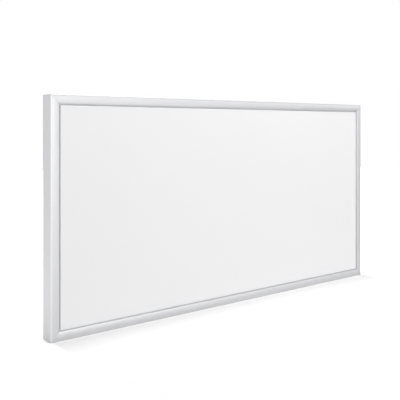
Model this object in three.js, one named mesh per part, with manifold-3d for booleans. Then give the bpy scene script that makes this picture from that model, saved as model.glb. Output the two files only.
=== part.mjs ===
// Far-infrared panel heater: a mitred aluminium frame round a flat, white heating plate.
// It stands on its long edge. Millimetres, +Z up, +X along the length, the front faces -Y.
// Inside the panel group, y is the depth behind the front, and x and z start at its centre.
import * as THREE from "three";
import { mergeVertices } from "three/addons/utils/BufferGeometryUtils.js";
import Module from "manifold-3d";

const wasm = await Module();
wasm.setup();

// Driving dimensions
const panelLength = 1195;
const panelHeight = 595;
const frameDepth = 42;
const faceWidth = 22.5; // a rail as seen from the front
const frameWall = 1.4;
const crownRise = 1.3; // the middle of a rail's face before its two edges
const gapWidth = 3.5; // the dark gap between the lip and the plate's field
const gapDepth = 4.4; // from the lip's edge back to the seal
const insulationThickness = 17.2;

// Clearances and cutting
const seatClearance = 0.3;
const slideClearance = 0.5;
const turningClearance = 0.3;
const overrun = 1; // how far a cutting tool runs past the face that it cuts
const cornerSteps = 5; // flats on a quarter of a round corner
const hexSides = 6;
const roundSides = 16;
const smallSides = 10;
const mergeTolerance = 0.0003;
const rightAngle = Math.PI / 2;

// Sheets and layers, from the front to the back
const plateSheet = 0.7;
const sealThickness = 1;
const laminateThickness = 1;
const busbarThickness = 0.5;
const foilThickness = 0.3;
const backSheet = 0.6;
const fieldFront = 1.7;
const fieldBack = fieldFront + plateSheet;
const sealFront = crownRise + gapDepth;
const rimFront = sealFront + sealThickness;
const rimBack = rimFront + plateSheet;
const laminateBack = fieldBack + laminateThickness;
const busbarBack = laminateBack + busbarThickness;
const foilBack = busbarBack + foilThickness;
const coreBack = foilBack + insulationThickness;
const backSheetBack = coreBack + backSheet;

// Frame extrusion: u runs inwards from the outer face, v runs back from the crown
const arrisRadius = 0.8;
const lipRadius = 0.7;
const keyChannel = 10;
const ledgeReach = 21;
const flangeReach = 8.4;
const mitreGap = 0.3;
const crownSteps = 18;
const filletSteps = 4;
const planSteps = 8;
const partition = frameWall + keyChannel + frameWall;
const keyFront = sealFront + frameWall;
const keyBack = coreBack - frameWall;

// Corner keys
const keyLeg = 46;
const keyToothPitch = 6;
const keyToothDepth = 0.9;
const keyThickness = keyChannel - 2 * seatClearance;
const keyStart = frameWall + seatClearance;

// Front plate
const fieldCornerRadius = 3;
const fieldEdgeRadius = 1;
const rimCornerRadius = 2;
const fieldInset = faceWidth + gapWidth;
const rimInset = partition + slideClearance;

// Back sheet
const backSheetInset = frameWall + slideClearance;
const screwShank = 1.75;
const screwHead = 3.4;
const screwHeadHeight = 2.2;
const screwLength = 8;
const screwHole = screwShank + seatClearance;
const screwInset = (partition + ledgeReach) / 2;
const longScrewShares = [-0.42, 0, 0.42]; // places along the rail, as shares of its length
const shortScrewShares = [-0.3, 0.3];
const swageWidth = 12;
const swageHeight = 1.6;
const swageSlope = 2;
const swageEndInset = 287.5;
const swageLength = panelLength - 2 * swageEndInset;
const swageSpacing = 96;
const swageCount = 3;

// Hangers
const pivotEndInset = 105;
const pivotTopInset = 120;
const pivotBottomInset = 90;
const hangerSheet = 1.5;
const hangerWidth = 22;
const hangerStep = 17; // pivot to the riser
const hangerReach = 58; // pivot to the end of the keyhole tab
const hangerTabBack = 3.5; // the tab lies this far in front of the wall
const hangerBend = 1;
const hangerCornerRadius = 5;
const keyholeRadius = 5.2;
const keyholeSlotRadius = 2.6;
const keyholeAt = 32;
const keyholeSlotTo = 46;
const pivotShoulder = 3;
const pivotNeck = 2;
const pivotHead = 5;
const pivotHeadHeight = 2;
const pivotInnerHead = 4;
const pivotInnerHeight = 1.2;
const washerRadius = 8;
const washerThickness = 1;

// Terminal box
const boxEndInset = 197.5;
const boxBottomInset = 92.5;
const boxLength = 96;
const boxHeight = 58;
const boxDepth = 17;
const boxWall = 2;
const boxCornerRadius = 6;
const boxDraft = 0.8;
const coverThickness = 1.8;
const coverEdgeRound = 0.6;
const coverRim = 1.2;
const bossRadius = 3.6;
const bossBore = 1.5;
const bossInset = 8;
const coverScrewHead = 2.8;
const coverScrewShank = 1.3;
const coverScrewLength = 8;
const coverScrewSink = 1;
const leadHoleRadius = 6;
const leadHoleX = 24;
const leadHoleZ = 9;
const bushingBore = 4.6;
const bushingLip = 6.4;
const bushingLipLength = 1;
const bushingFlange = 7.4;
const bushingFlangeHeight = 1;
const boxScrewSideInset = 10;
const topScrewEndInset = 18;
const bottomScrewEndInset = 10;
const boxScrewPlaces = [
  { x: topScrewEndInset - boxLength / 2, z: boxHeight / 2 - boxScrewSideInset },
  { x: boxLength / 2 - bottomScrewEndInset, z: boxScrewSideInset - boxHeight / 2 },
];

// Terminal block
const blockX = -8;
const blockLength = 20;
const blockHeight = 30;
const blockDepth = 9.5;
const blockPitch = 9;
const blockBore = 1.7;
const blockNeck = 1.2;
const blockScrewRadius = 2.2;
const blockScrewDepth = 3;

// Cable gland
const cableRadius = 3.4;
const glandThread = 5.6;
const glandFlats = 14;
const glandFlange = 4;
const glandSleeve = 5.4;
const glandSleeveLength = 8;
const glandThroat = 4.1;
const glandSealRadius = 4.6;
const glandNutLength = 11;
const glandNutRound = 2;
const glandRun = 0.2;
const locknutFlats = 13.4;
const locknutThickness = 3.4;
const threadEnd = 1.5;

// Earth stud
const earthEndInset = 20;
const earthX = boxLength / 2 - earthEndInset;
const earthZ = -13;
const earthShank = 2;
const earthFlange = 4;
const earthFlangeHeight = 1;
const earthLength = 7;
const earthNutFlats = 7;
const earthNutHeight = 3;
const tagRadius = 4.2;
const tagThickness = 0.8;
const tagReach = 12;
const tagBarrel = 1.9;
const tagBarrelLength = 5;

// Heating layers and leads
const laminateMargin = 1.5;
const laminateInset = fieldInset + fieldEdgeRadius + laminateMargin;
const busbarWidth = 14;
const busbarInset = 4;
const busbarEndInset = 20;
const layerCornerRadius = 1.5;
const frontStepInset = fieldInset + plateSheet + slideClearance;
const coreInset = ledgeReach + slideClearance;
const leadRadius = 1.3;
const leadBend = 5;
const leadInBlock = 6;
const leadStub = 2.5;
const leadSides = 8;
const bendSteps = 4;
const grooveWidth = 6;
const grooveDepth = 6;
const wellWidth = 10;
const wellLength = 24;
const cutoutShare = 0.19; // its height above the panel's centre, as a share of the panel's
const cutoutLength = 24;
const cutoutWidth = 11;
const cutoutThickness = 6;
const cutoutTabLength = 3;
const cutoutTabWidth = 5;
const cutoutTabThickness = 0.8;

// Places worked out from the sizes
const halfLength = panelLength / 2;
const halfHeight = panelHeight / 2;
const boxX = halfLength - boxEndInset;
const boxZ = boxBottomInset - halfHeight;
const footFront = backSheetBack + washerThickness + turningClearance;
const footBack = footFront + hangerSheet;
const tabBack = frameDepth - hangerTabBack;
const tabFront = tabBack - hangerSheet;
const boxBack = backSheetBack + boxDepth;
const boxFloor = backSheetBack + boxWall;
const glandDepth = (boxFloor + boxBack - coverRim + seatClearance) / 2;
const busbarZ = halfHeight - laminateInset - busbarInset - busbarWidth / 2;
const leadX = boxX + leadHoleX;
const leadDepth = coreBack - grooveDepth / 2;
const cutoutZ = cutoutShare * panelHeight;

// Materials
function material(color, roughness, metalness) {
  return new THREE.MeshStandardMaterial({ color, roughness, metalness });
}

const anodised = () => material(0xd3d4d8, 0.36, 0.9);
const castAluminium = () => material(0x9a9c9e, 0.6, 0.85);
const whiteEnamel = () => material(0xf0f0ef, 0.62, 0);
const greySilicone = () => material(0x6c6d70, 0.7, 0);
const carbonFilm = () => material(0x2a2a2c, 0.6, 0);
const copper = () => material(0xc07a4c, 0.35, 0.9);
const foil = () => material(0xc9ccd0, 0.25, 0.9);
const mineralFibre = () => material(0xd6cfa8, 0.95, 0);
const zincSteel = () => material(0xb4b7ba, 0.42, 0.9);
const whiteMoulding = () => material(0xe6e6e3, 0.55, 0);
const greyMoulding = () => material(0x7d8084, 0.55, 0);
const nylon = () => material(0xdedccf, 0.5, 0);
const brownSheath = () => material(0x6a4026, 0.5, 0);
const blueSheath = () => material(0x2f62b0, 0.5, 0);
const greenSheath = () => material(0x5f9a2c, 0.5, 0);

// Solids

// A closed mesh as a solid that can be joined and cut.
function toSolid(geometry) {
  const bare = geometry.clone();
  bare.deleteAttribute("normal");
  bare.deleteAttribute("uv");
  const merged = mergeVertices(bare, mergeTolerance);
  const corners = Array.from(merged.index.array);
  const triVerts = [];
  for (let i = 0; i < corners.length; i += 3) {
    const [a, b, c] = corners.slice(i, i + 3);
    if (a !== b && b !== c && c !== a) triVerts.push(a, b, c);
  }
  const vertProperties = Float32Array.from(merged.attributes.position.array);
  const mesh = new wasm.Mesh({ numProp: 3, vertProperties, triVerts: Uint32Array.from(triVerts) });
  return new wasm.Manifold(mesh);
}

function toGeometry(solid) {
  const mesh = solid.getMesh();
  const geometry = new THREE.BufferGeometry();
  geometry.setAttribute("position", new THREE.BufferAttribute(mesh.vertProperties, 3));
  geometry.setIndex(new THREE.BufferAttribute(mesh.triVerts, 1));
  return geometry;
}

function join(first, ...others) {
  return toGeometry(others.reduce((sum, other) => sum.add(toSolid(other)), toSolid(first)));
}

function cut(body, ...tools) {
  return toGeometry(tools.reduce((rest, tool) => rest.subtract(toSolid(tool)), toSolid(body)));
}

function common(first, second) {
  return toGeometry(toSolid(first).intersect(toSolid(second)));
}

// A closed body through a row of outlines with equal numbers of points, from the front to
// the back. Each runs anticlockwise as seen from the front. A row that returns to its start
// makes a ring.
function loft(outlines, returns = false) {
  const count = outlines[0].length;
  const positions = outlines.flat().flatMap((point) => [point.x, point.y, point.z]);
  const faces = [];
  const bands = returns ? outlines.length : outlines.length - 1;
  for (let band = 0; band < bands; band += 1) {
    const here = band * count;
    const there = ((band + 1) % outlines.length) * count;
    for (let i = 0; i < count; i += 1) {
      const next = (i + 1) % count;
      faces.push(here + i, there + next, here + next, here + i, there + i, there + next);
    }
  }
  const last = (outlines.length - 1) * count;
  for (let i = 1; !returns && i < count - 1; i += 1) {
    faces.push(0, i, i + 1, last, last + i + 1, last + i);
  }
  const geometry = new THREE.BufferGeometry();
  geometry.setAttribute("position", new THREE.Float32BufferAttribute(positions, 3));
  geometry.setIndex(faces);
  return geometry;
}

// A rounded rectangle at a depth, about the point x, z.
function roundedOutline(halfX, halfZ, radius, depth, x = 0, z = 0) {
  const points = [];
  for (let corner = 0; corner < 4; corner += 1) {
    const alongX = corner === 0 || corner === 3 ? 1 : -1;
    const alongZ = corner < 2 ? 1 : -1;
    for (let step = 0; step <= cornerSteps; step += 1) {
      const angle = rightAngle * (corner + step / cornerSteps);
      points.push(
        new THREE.Vector3(
          x + alongX * (halfX - radius) + radius * Math.cos(angle),
          depth,
          z + alongZ * (halfZ - radius) + radius * Math.sin(angle),
        ),
      );
    }
  }
  return points;
}

// The panel's own outline, moved inwards from its outer edges.
function panelOutline(inset, depth, radius) {
  return roundedOutline(halfLength - inset, halfHeight - inset, radius, depth);
}

// A block between two depths, with its four long edges rounded.
function slab(halfX, halfZ, radius, front, back, x = 0, z = 0) {
  return loft([
    roundedOutline(halfX, halfZ, radius, front, x, z),
    roundedOutline(halfX, halfZ, radius, back, x, z),
  ]);
}

function box(fromX, toX, fromY, toY, fromZ, toZ) {
  const geometry = new THREE.BoxGeometry(toX - fromX, toY - fromY, toZ - fromZ);
  return geometry.translate((fromX + toX) / 2, (fromY + toY) / 2, (fromZ + toZ) / 2);
}

// A turned piece about the depth axis through x, z. The profile is [radius, depth] pairs.
function turned(profile, sides, x = 0, z = 0) {
  const points = profile.map(([radius, depth]) => new THREE.Vector2(radius, depth));
  return new THREE.LatheGeometry(points, sides).translate(x, 0, z);
}

// A round bar or drill between two depths.
function drill(radius, front, back, x = 0, z = 0, sides = smallSides) {
  const profile = [
    [0, front],
    [radius, front],
    [radius, back],
    [0, back],
  ];
  return turned(profile, sides, x, z);
}

// A flat piece between two depths, from an outline drawn in x and z.
function plateFromShape(shape, front, back) {
  const geometry = new THREE.ExtrudeGeometry(shape, { depth: back - front, bevelEnabled: false });
  return geometry.rotateX(rightAngle).translate(0, back, 0);
}

// A turned piece about the x axis: the profile is [radius, x] pairs.
function turnedAlongX(profile, sides, y, z) {
  const points = profile.map(([radius, along]) => new THREE.Vector2(radius, along));
  return new THREE.LatheGeometry(points, sides).rotateZ(-rightAngle).translate(0, y, z);
}

// A hexagon bar along the x axis, with two of its flats facing front and back.
function hexAlongX(flats, fromX, toX, y, z) {
  const radius = flats / Math.sqrt(3);
  const geometry = new THREE.CylinderGeometry(radius, radius, toX - fromX, hexSides);
  return geometry.rotateZ(-rightAngle).translate((fromX + toX) / 2, y, z);
}

// The assembly
const heater = new THREE.Group();
const panel = new THREE.Group();
panel.position.set(0, -frameDepth / 2, halfHeight);
heater.add(panel);

function place(name, geometry, itsMaterial, into = panel) {
  const mesh = new THREE.Mesh(geometry, itsMaterial);
  mesh.name = name;
  into.add(mesh);
  return mesh;
}

// Frame rails

// The crown is an arc through both edges of the face.
const crownRadius = ((faceWidth / 2) ** 2 + crownRise ** 2) / (2 * crownRise);

// The depth of the centre of a round edge that blends a side wall into the crown.
function edgeCentreDepth(radius) {
  return crownRadius - Math.sqrt((crownRadius - radius) ** 2 - (faceWidth / 2 - radius) ** 2);
}

// Points along an arc in the section's own axes, u and v.
function arcPoints(u, v, radius, fromAngle, toAngle, steps) {
  const points = [];
  for (let step = 0; step <= steps; step += 1) {
    const angle = fromAngle + ((toAngle - fromAngle) * step) / steps;
    points.push(new THREE.Vector2(u + radius * Math.cos(angle), v + radius * Math.sin(angle)));
  }
  return points;
}

// The section through a rail: crown, lip, key channel, rear ledge and rear flange.
function railSection() {
  const middle = faceWidth / 2;
  const arrisDepth = edgeCentreDepth(arrisRadius);
  const lipDepth = edgeCentreDepth(lipRadius);
  const arrisTurn = Math.atan2(arrisDepth - crownRadius, arrisRadius - middle);
  const lipTurn = Math.atan2(lipDepth - crownRadius, middle - lipRadius);
  const innerHalf = middle - frameWall;
  const innerRadius = crownRadius - frameWall;
  const innerTurn = Math.asin(innerHalf / innerRadius);
  const innerFrom = innerTurn - rightAngle;
  const innerTo = -innerTurn - rightAngle;
  const outline = [
    new THREE.Vector2(0, frameDepth),
    ...arcPoints(arrisRadius, arrisDepth, arrisRadius, -Math.PI, arrisTurn, filletSteps),
    ...arcPoints(middle, crownRadius, crownRadius, arrisTurn, lipTurn, crownSteps).slice(1, -1),
    ...arcPoints(faceWidth - lipRadius, lipDepth, lipRadius, lipTurn, 0, filletSteps),
    new THREE.Vector2(faceWidth, sealFront),
    new THREE.Vector2(faceWidth - frameWall, sealFront),
    ...arcPoints(middle, crownRadius, innerRadius, innerFrom, innerTo, crownSteps / 2),
    new THREE.Vector2(frameWall, sealFront),
    new THREE.Vector2(partition, sealFront),
    new THREE.Vector2(partition, keyBack),
    new THREE.Vector2(ledgeReach, keyBack),
    new THREE.Vector2(ledgeReach, coreBack),
    new THREE.Vector2(frameWall, coreBack),
    new THREE.Vector2(frameWall, frameDepth - frameWall),
    new THREE.Vector2(flangeReach, frameDepth - frameWall),
    new THREE.Vector2(flangeReach, frameDepth),
  ];
  const section = new THREE.Shape(outline);
  section.holes.push(
    new THREE.Path([
      new THREE.Vector2(frameWall, keyFront),
      new THREE.Vector2(frameWall + keyChannel, keyFront),
      new THREE.Vector2(frameWall + keyChannel, keyBack),
      new THREE.Vector2(frameWall, keyBack),
    ]),
  );
  return section;
}

// One rail: the section drawn out by one unit, stretched along x to its two mitres, and
// drilled through its ledge for the back sheet's screws.
function rail(length, screwShares) {
  const geometry = new THREE.ExtrudeGeometry(railSection(), { depth: 1, bevelEnabled: false });
  const positions = geometry.attributes.position;
  const mitreShift = mitreGap / Math.SQRT2;
  for (let i = 0; i < positions.count; i += 1) {
    const u = positions.getX(i);
    const v = positions.getY(i);
    const end = 1 - 2 * positions.getZ(i);
    positions.setXYZ(i, end * (length / 2 - u - mitreShift), v, u);
  }
  const drills = screwShares.map((share) =>
    drill(screwHole, keyBack - overrun, coreBack + overrun, share * length, screwInset),
  );
  return cut(geometry, ...drills);
}

function placeRail(name, length, screwShares, x, z, turn) {
  const mesh = place(name, rail(length, screwShares), anodised());
  mesh.position.set(x, 0, z);
  mesh.rotation.y = turn;
}

placeRail("frame_rail_bottom", panelLength, longScrewShares, 0, -halfHeight, 0);
placeRail("frame_rail_top", panelLength, longScrewShares, 0, halfHeight, Math.PI);
placeRail("frame_rail_left", panelHeight, shortScrewShares, -halfLength, 0, rightAngle);
placeRail("frame_rail_right", panelHeight, shortScrewShares, halfLength, 0, -rightAngle);

// Corner keys

// An L whose inner edges carry saw teeth, which bite when the rail is crimped.
function cornerKeyOutline() {
  const inner = keyStart + keyThickness;
  const toothCount = Math.floor((keyLeg - keyThickness) / keyToothPitch) - 1;
  const teeth = [];
  for (let i = 1; i <= toothCount; i += 1) {
    const along = inner + i * keyToothPitch;
    teeth.push([along, inner - keyToothDepth], [along + keyToothPitch, inner]);
  }
  const upright = teeth.map(([along, across]) => new THREE.Vector2(across, along)).reverse();
  const level = teeth.map(([along, across]) => new THREE.Vector2(along, across));
  return new THREE.Shape([
    new THREE.Vector2(keyStart, keyStart),
    new THREE.Vector2(keyStart, keyStart + keyLeg),
    new THREE.Vector2(inner - keyToothDepth, keyStart + keyLeg),
    ...upright,
    new THREE.Vector2(inner, inner),
    ...level,
    new THREE.Vector2(keyStart + keyLeg, inner - keyToothDepth),
    new THREE.Vector2(keyStart + keyLeg, keyStart),
  ]);
}

function placeCornerKey(name, x, z, turn) {
  const front = keyFront + seatClearance;
  const geometry = plateFromShape(cornerKeyOutline(), front, keyBack - seatClearance);
  const mesh = place(name, geometry, castAluminium());
  mesh.position.set(x, 0, z);
  mesh.rotation.y = turn;
}

placeCornerKey("corner_key_bottom_left", -halfLength, -halfHeight, 0);
placeCornerKey("corner_key_top_left", -halfLength, halfHeight, rightAngle);
placeCornerKey("corner_key_top_right", halfLength, halfHeight, Math.PI);
placeCornerKey("corner_key_bottom_right", halfLength, -halfHeight, -rightAngle);

// Front plate: a raised field inside the gap, with a rim that the lip holds.
function frontPlate() {
  const outlines = [];
  for (let step = 0; step <= filletSteps; step += 1) {
    const angle = (rightAngle * step) / filletSteps;
    const inset = fieldInset + fieldEdgeRadius * (1 - Math.sin(angle));
    const depth = fieldFront + fieldEdgeRadius * (1 - Math.cos(angle));
    outlines.push(panelOutline(inset, depth, fieldCornerRadius + fieldInset - inset));
  }
  outlines.push(
    panelOutline(fieldInset, rimFront, fieldCornerRadius),
    panelOutline(rimInset, rimFront, rimCornerRadius),
    panelOutline(rimInset, rimBack, rimCornerRadius),
    panelOutline(fieldInset + plateSheet, rimBack, fieldCornerRadius - plateSheet),
    panelOutline(fieldInset + plateSheet, fieldBack + plateSheet, fieldCornerRadius - plateSheet),
    panelOutline(fieldInset + fieldEdgeRadius, fieldBack, fieldCornerRadius - fieldEdgeRadius),
  );
  return loft(outlines);
}

place("front_plate", frontPlate(), whiteEnamel());

// Seal strip between the lip and the plate's rim, seen on the floor of the gap
const sealOuterInset = rimInset + slideClearance;
const sealInnerInset = fieldInset - seatClearance;

function plateSeal() {
  const innerRadius = fieldCornerRadius + seatClearance;
  return loft(
    [
      panelOutline(sealInnerInset, sealFront, innerRadius),
      panelOutline(sealOuterInset, sealFront, rimCornerRadius),
      panelOutline(sealOuterInset, rimFront, rimCornerRadius),
      panelOutline(sealInnerInset, rimFront, innerRadius),
    ],
    true,
  );
}

place("plate_seal", plateSeal(), greySilicone());

// Heating laminate with its two busbars
function layer(inset, front, back) {
  return slab(halfLength - inset, halfHeight - inset, layerCornerRadius, front, back);
}

function busbar(z) {
  const halfRun = halfLength - laminateInset - busbarEndInset;
  return slab(halfRun, busbarWidth / 2, layerCornerRadius, laminateBack, busbarBack, 0, z);
}

place("heating_laminate", layer(laminateInset, fieldBack, laminateBack), carbonFilm());
place("busbar_top", busbar(busbarZ), copper());
place("busbar_bottom", busbar(-busbarZ), copper());

// Wells through the core, over the busbars and the cut-out
const wellHalf = wellWidth / 2;
const topWell = { from: busbarZ - wellLength, to: busbarZ + wellHalf };
const bottomWell = { from: -busbarZ - wellHalf, to: wellLength - busbarZ };
const cutoutWell = {
  from: cutoutZ - cutoutLength / 2 - wellLength,
  to: cutoutZ + cutoutLength / 2 + wellLength,
};

function wellTool(well, front, back) {
  return box(leadX - wellHalf, leadX + wellHalf, front, back, well.from, well.to);
}

function cutoutPocket(front, back) {
  const acrossX = cutoutWidth / 2 + slideClearance;
  const alongZ = cutoutLength / 2 + slideClearance;
  return box(leadX - acrossX, leadX + acrossX, front, back, cutoutZ - alongZ, cutoutZ + alongZ);
}

function reflectorFoil() {
  return cut(
    layer(frontStepInset, busbarBack, foilBack),
    wellTool(topWell, busbarBack - overrun, foilBack + overrun),
    wellTool(bottomWell, busbarBack - overrun, foilBack + overrun),
  );
}

place("reflector_foil", reflectorFoil(), foil());

// Insulation board: its front step fits inside the plate's tray, and its back carries the
// leads in a groove.
const hangerPivots = [
  { name: "top_left", x: pivotEndInset - halfLength, z: halfHeight - pivotTopInset },
  { name: "top_right", x: halfLength - pivotEndInset, z: halfHeight - pivotTopInset },
  { name: "bottom_left", x: pivotEndInset - halfLength, z: pivotBottomInset - halfHeight },
  { name: "bottom_right", x: halfLength - pivotEndInset, z: pivotBottomInset - halfHeight },
];

// A blind round pocket in the board's back, with room left past what it takes.
function pocket(radius, depth, x, z) {
  return drill(radius, coreBack - depth - slideClearance, coreBack + overrun, x, z);
}

function insulationBoard() {
  const board = loft([
    panelOutline(frontStepInset, foilBack, layerCornerRadius),
    panelOutline(frontStepInset, rimBack, layerCornerRadius),
    panelOutline(coreInset, rimBack, layerCornerRadius),
    panelOutline(coreInset, coreBack, layerCornerRadius),
  ]);
  const boxScrewPocket = screwShank + slideClearance;
  const pivotPocket = pivotInnerHead + slideClearance;
  const groove = box(
    leadX - grooveWidth / 2,
    leadX + grooveWidth / 2,
    coreBack - grooveDepth,
    coreBack + overrun,
    bottomWell.from + wellHalf,
    topWell.to - wellHalf,
  );
  const tools = [
    groove,
    wellTool(topWell, foilBack - overrun, coreBack + overrun),
    wellTool(bottomWell, foilBack - overrun, coreBack + overrun),
    wellTool(cutoutWell, foilBack + foilThickness, coreBack + overrun),
    cutoutPocket(foilBack - overrun, coreBack + overrun),
    pocket(bushingLip + slideClearance, grooveDepth, leadX, boxZ + leadHoleZ),
    pocket(earthFlange + slideClearance, earthFlangeHeight, boxX + earthX, boxZ + earthZ),
    ...boxScrewPlaces.map((at) => pocket(boxScrewPocket, screwLength, boxX + at.x, boxZ + at.z)),
    ...hangerPivots.map((at) => pocket(pivotPocket, pivotInnerHeight, at.x, at.z)),
  ];
  return cut(board, ...tools);
}

place("insulation_board", insulationBoard(), mineralFibre());

// Back sheet with three pressed stiffening beads
function swage(z, front, height) {
  const half = swageLength / 2;
  const foot = swageWidth / 2;
  const top = foot - swageSlope;
  return loft([
    roundedOutline(half, foot, foot, front, 0, z),
    roundedOutline(half - swageSlope, top, top, front + height, 0, z),
  ]);
}

// The hollow behind a bead, one sheet thickness inside it.
function swageHollow(z) {
  const half = swageLength / 2 - backSheet;
  const foot = swageWidth / 2 - backSheet;
  const top = foot - swageSlope;
  return loft([
    roundedOutline(half, foot, foot, coreBack - overrun, 0, z),
    roundedOutline(half, foot, foot, coreBack, 0, z),
    roundedOutline(half - swageSlope, top, top, coreBack + swageHeight, 0, z),
  ]);
}

function backScrewPlaces() {
  const alongX = longScrewShares.map((share) => share * panelLength);
  const alongZ = shortScrewShares.map((share) => share * panelHeight);
  const fromEdgeX = halfLength - screwInset;
  const fromEdgeZ = halfHeight - screwInset;
  return [
    ...alongX.map((x) => ({ x, z: -fromEdgeZ })),
    ...alongX.map((x) => ({ x, z: fromEdgeZ })),
    ...alongZ.map((z) => ({ x: -fromEdgeX, z })),
    ...alongZ.map((z) => ({ x: fromEdgeX, z })),
  ];
}

function backSheetPlate() {
  const plate = layer(backSheetInset, coreBack, backSheetBack);
  const middle = (swageCount - 1) / 2;
  let sheet = plate;
  for (let i = 0; i < swageCount; i += 1) {
    const z = (i - middle) * swageSpacing;
    sheet = cut(join(sheet, swage(z, backSheetBack, swageHeight)), swageHollow(z));
  }
  const from = coreBack - overrun;
  const to = backSheetBack + overrun;
  const holes = [
    ...backScrewPlaces().map((at) => drill(screwHole, from, to, at.x, at.z)),
    ...boxScrewPlaces.map((at) => drill(screwHole, from, to, boxX + at.x, boxZ + at.z)),
    ...hangerPivots.map((at) => drill(pivotNeck + seatClearance, from, to, at.x, at.z)),
    drill(leadHoleRadius, from, to, leadX, boxZ + leadHoleZ, roundSides),
    drill(earthShank + seatClearance, from, to, boxX + earthX, boxZ + earthZ),
  ];
  return cut(sheet, ...holes);
}

place("back_sheet", backSheetPlate(), whiteEnamel());

// A pan-head screw driven forwards: its head rests on the given depth.
function panScrew(shank, head, headHeight, length, seat, x, z) {
  const profile = [
    [0, seat - length],
    [shank, seat - length + shank],
    [shank, seat],
    [head, seat],
    [head, seat + headHeight / 2],
    [head * Math.SQRT1_2, seat + headHeight],
    [0, seat + headHeight],
  ];
  return turned(profile, smallSides, x, z);
}

// The screw that holds sheet and box alike.
function sheetScrew(seat, x, z) {
  return panScrew(screwShank, screwHead, screwHeadHeight, screwLength, seat, x, z);
}

backScrewPlaces().forEach((at, i) => {
  place("back_sheet_screw_" + (i + 1), sheetScrew(backSheetBack, at.x, at.z), zincSteel());
});

// Hangers: each turns about its pivot so that the keyhole's slot points up, whether the
// panel hangs lengthways or upright.

// The folded side view of a hanger: foot, riser and tab, in z and depth.
function hangerFold() {
  const fold = new THREE.Shape();
  const outer = hangerBend + hangerSheet;
  const riserFront = hangerStep + hangerSheet;
  const bendDepth = tabFront - hangerBend;
  fold.moveTo(-hangerWidth, footFront);
  fold.lineTo(riserFront - outer, footFront);
  fold.absarc(riserFront - outer, footFront + outer, outer, -rightAngle, 0, false);
  fold.lineTo(riserFront, bendDepth);
  fold.absarc(riserFront + hangerBend, bendDepth, hangerBend, Math.PI, rightAngle, true);
  fold.lineTo(hangerReach + hangerWidth, tabFront);
  fold.lineTo(hangerReach + hangerWidth, tabBack);
  fold.lineTo(hangerStep + outer, tabBack);
  fold.absarc(hangerStep + outer, tabBack - outer, outer, rightAngle, Math.PI, false);
  fold.lineTo(hangerStep, footBack + hangerBend);
  fold.absarc(hangerStep - hangerBend, footBack + hangerBend, hangerBend, 0, -rightAngle, true);
  fold.lineTo(-hangerWidth, footBack);
  return fold;
}

// The plan view: round at the pivot, with rounded corners at the tab's end.
function hangerPlan() {
  const half = hangerWidth / 2;
  const plan = new THREE.Shape();
  const corner = half - hangerCornerRadius;
  const straightTo = hangerReach - hangerCornerRadius;
  plan.absarc(0, 0, half, Math.PI, 2 * Math.PI, false);
  plan.lineTo(half, straightTo);
  plan.absarc(corner, straightTo, hangerCornerRadius, 0, rightAngle, false);
  plan.absarc(-corner, straightTo, hangerCornerRadius, rightAngle, Math.PI, false);
  return plan;
}

// A round hole for a screw's head, with a slot above it for the shank.
function keyhole() {
  const shape = new THREE.Shape();
  const meet = Math.asin(keyholeSlotRadius / keyholeRadius);
  shape.absarc(0, keyholeAt, keyholeRadius, rightAngle + meet, 5 * rightAngle - meet, false);
  shape.absarc(0, keyholeSlotTo - keyholeSlotRadius, keyholeSlotRadius, 0, Math.PI, false);
  return shape;
}

// Turns a drawing in z and depth, extruded along its own third axis, into the panel's axes.
function swapAxes(geometry) {
  const positions = geometry.attributes.position;
  for (let i = 0; i < positions.count; i += 1) {
    const z = positions.getX(i);
    const y = positions.getY(i);
    const x = hangerWidth - positions.getZ(i);
    positions.setXYZ(i, x, y, z);
  }
}

function hanger() {
  const steps = { bevelEnabled: false, curveSegments: filletSteps };
  const fold = { ...steps, depth: 2 * hangerWidth };
  const through = { ...steps, depth: frameDepth, curveSegments: planSteps };
  const folded = new THREE.ExtrudeGeometry(hangerFold(), fold);
  swapAxes(folded);
  const plan = new THREE.ExtrudeGeometry(hangerPlan(), through);
  plan.rotateX(rightAngle).translate(0, frameDepth, 0);
  const holeTool = new THREE.ExtrudeGeometry(keyhole(), through);
  holeTool.rotateX(rightAngle).translate(0, frameDepth + tabFront - overrun, 0);
  const bore = pivotShoulder + turningClearance;
  const pivotTool = drill(bore, footFront - overrun, footBack + overrun, 0, 0, roundSides);
  return cut(common(folded, plan), holeTool, pivotTool);
}

function hangerPivot() {
  const headFront = footBack + turningClearance;
  return turned(
    [
      [0, coreBack - pivotInnerHeight],
      [pivotInnerHead, coreBack - pivotInnerHeight],
      [pivotInnerHead, coreBack],
      [pivotNeck, coreBack],
      [pivotNeck, backSheetBack],
      [pivotShoulder, backSheetBack],
      [pivotShoulder, headFront],
      [pivotHead, headFront],
      [pivotHead, headFront + pivotHeadHeight / 2],
      [pivotHead - pivotHeadHeight / 2, headFront + pivotHeadHeight],
      [0, headFront + pivotHeadHeight],
    ],
    roundSides,
  );
}

function hangerWasher() {
  const bore = pivotShoulder + seatClearance;
  const back = backSheetBack + washerThickness;
  return turned(
    [
      [bore, backSheetBack],
      [washerRadius, backSheetBack],
      [washerRadius, back],
      [bore, back],
      [bore, backSheetBack],
    ],
    roundSides,
  );
}

hangerPivots.forEach((at) => {
  const pieces = [
    place("hanger_" + at.name, hanger(), zincSteel()),
    place("hanger_pivot_" + at.name, hangerPivot(), zincSteel()),
    place("hanger_washer_" + at.name, hangerWasher(), nylon()),
  ];
  pieces.forEach((mesh) => mesh.position.set(at.x, 0, at.z));
});

// Terminal box, in its own group about the box's centre
const terminals = new THREE.Group();
terminals.position.set(boxX, 0, boxZ);
panel.add(terminals);

const boxHalfX = boxLength / 2;
const boxHalfZ = boxHeight / 2;
const coverHalfX = boxHalfX - boxDraft;
const coverHalfZ = boxHalfZ - boxDraft;
const bossPlaces = [
  { x: bossInset - boxHalfX, z: bossInset - boxHalfZ },
  { x: boxHalfX - bossInset, z: boxHalfZ - bossInset },
];

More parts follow.
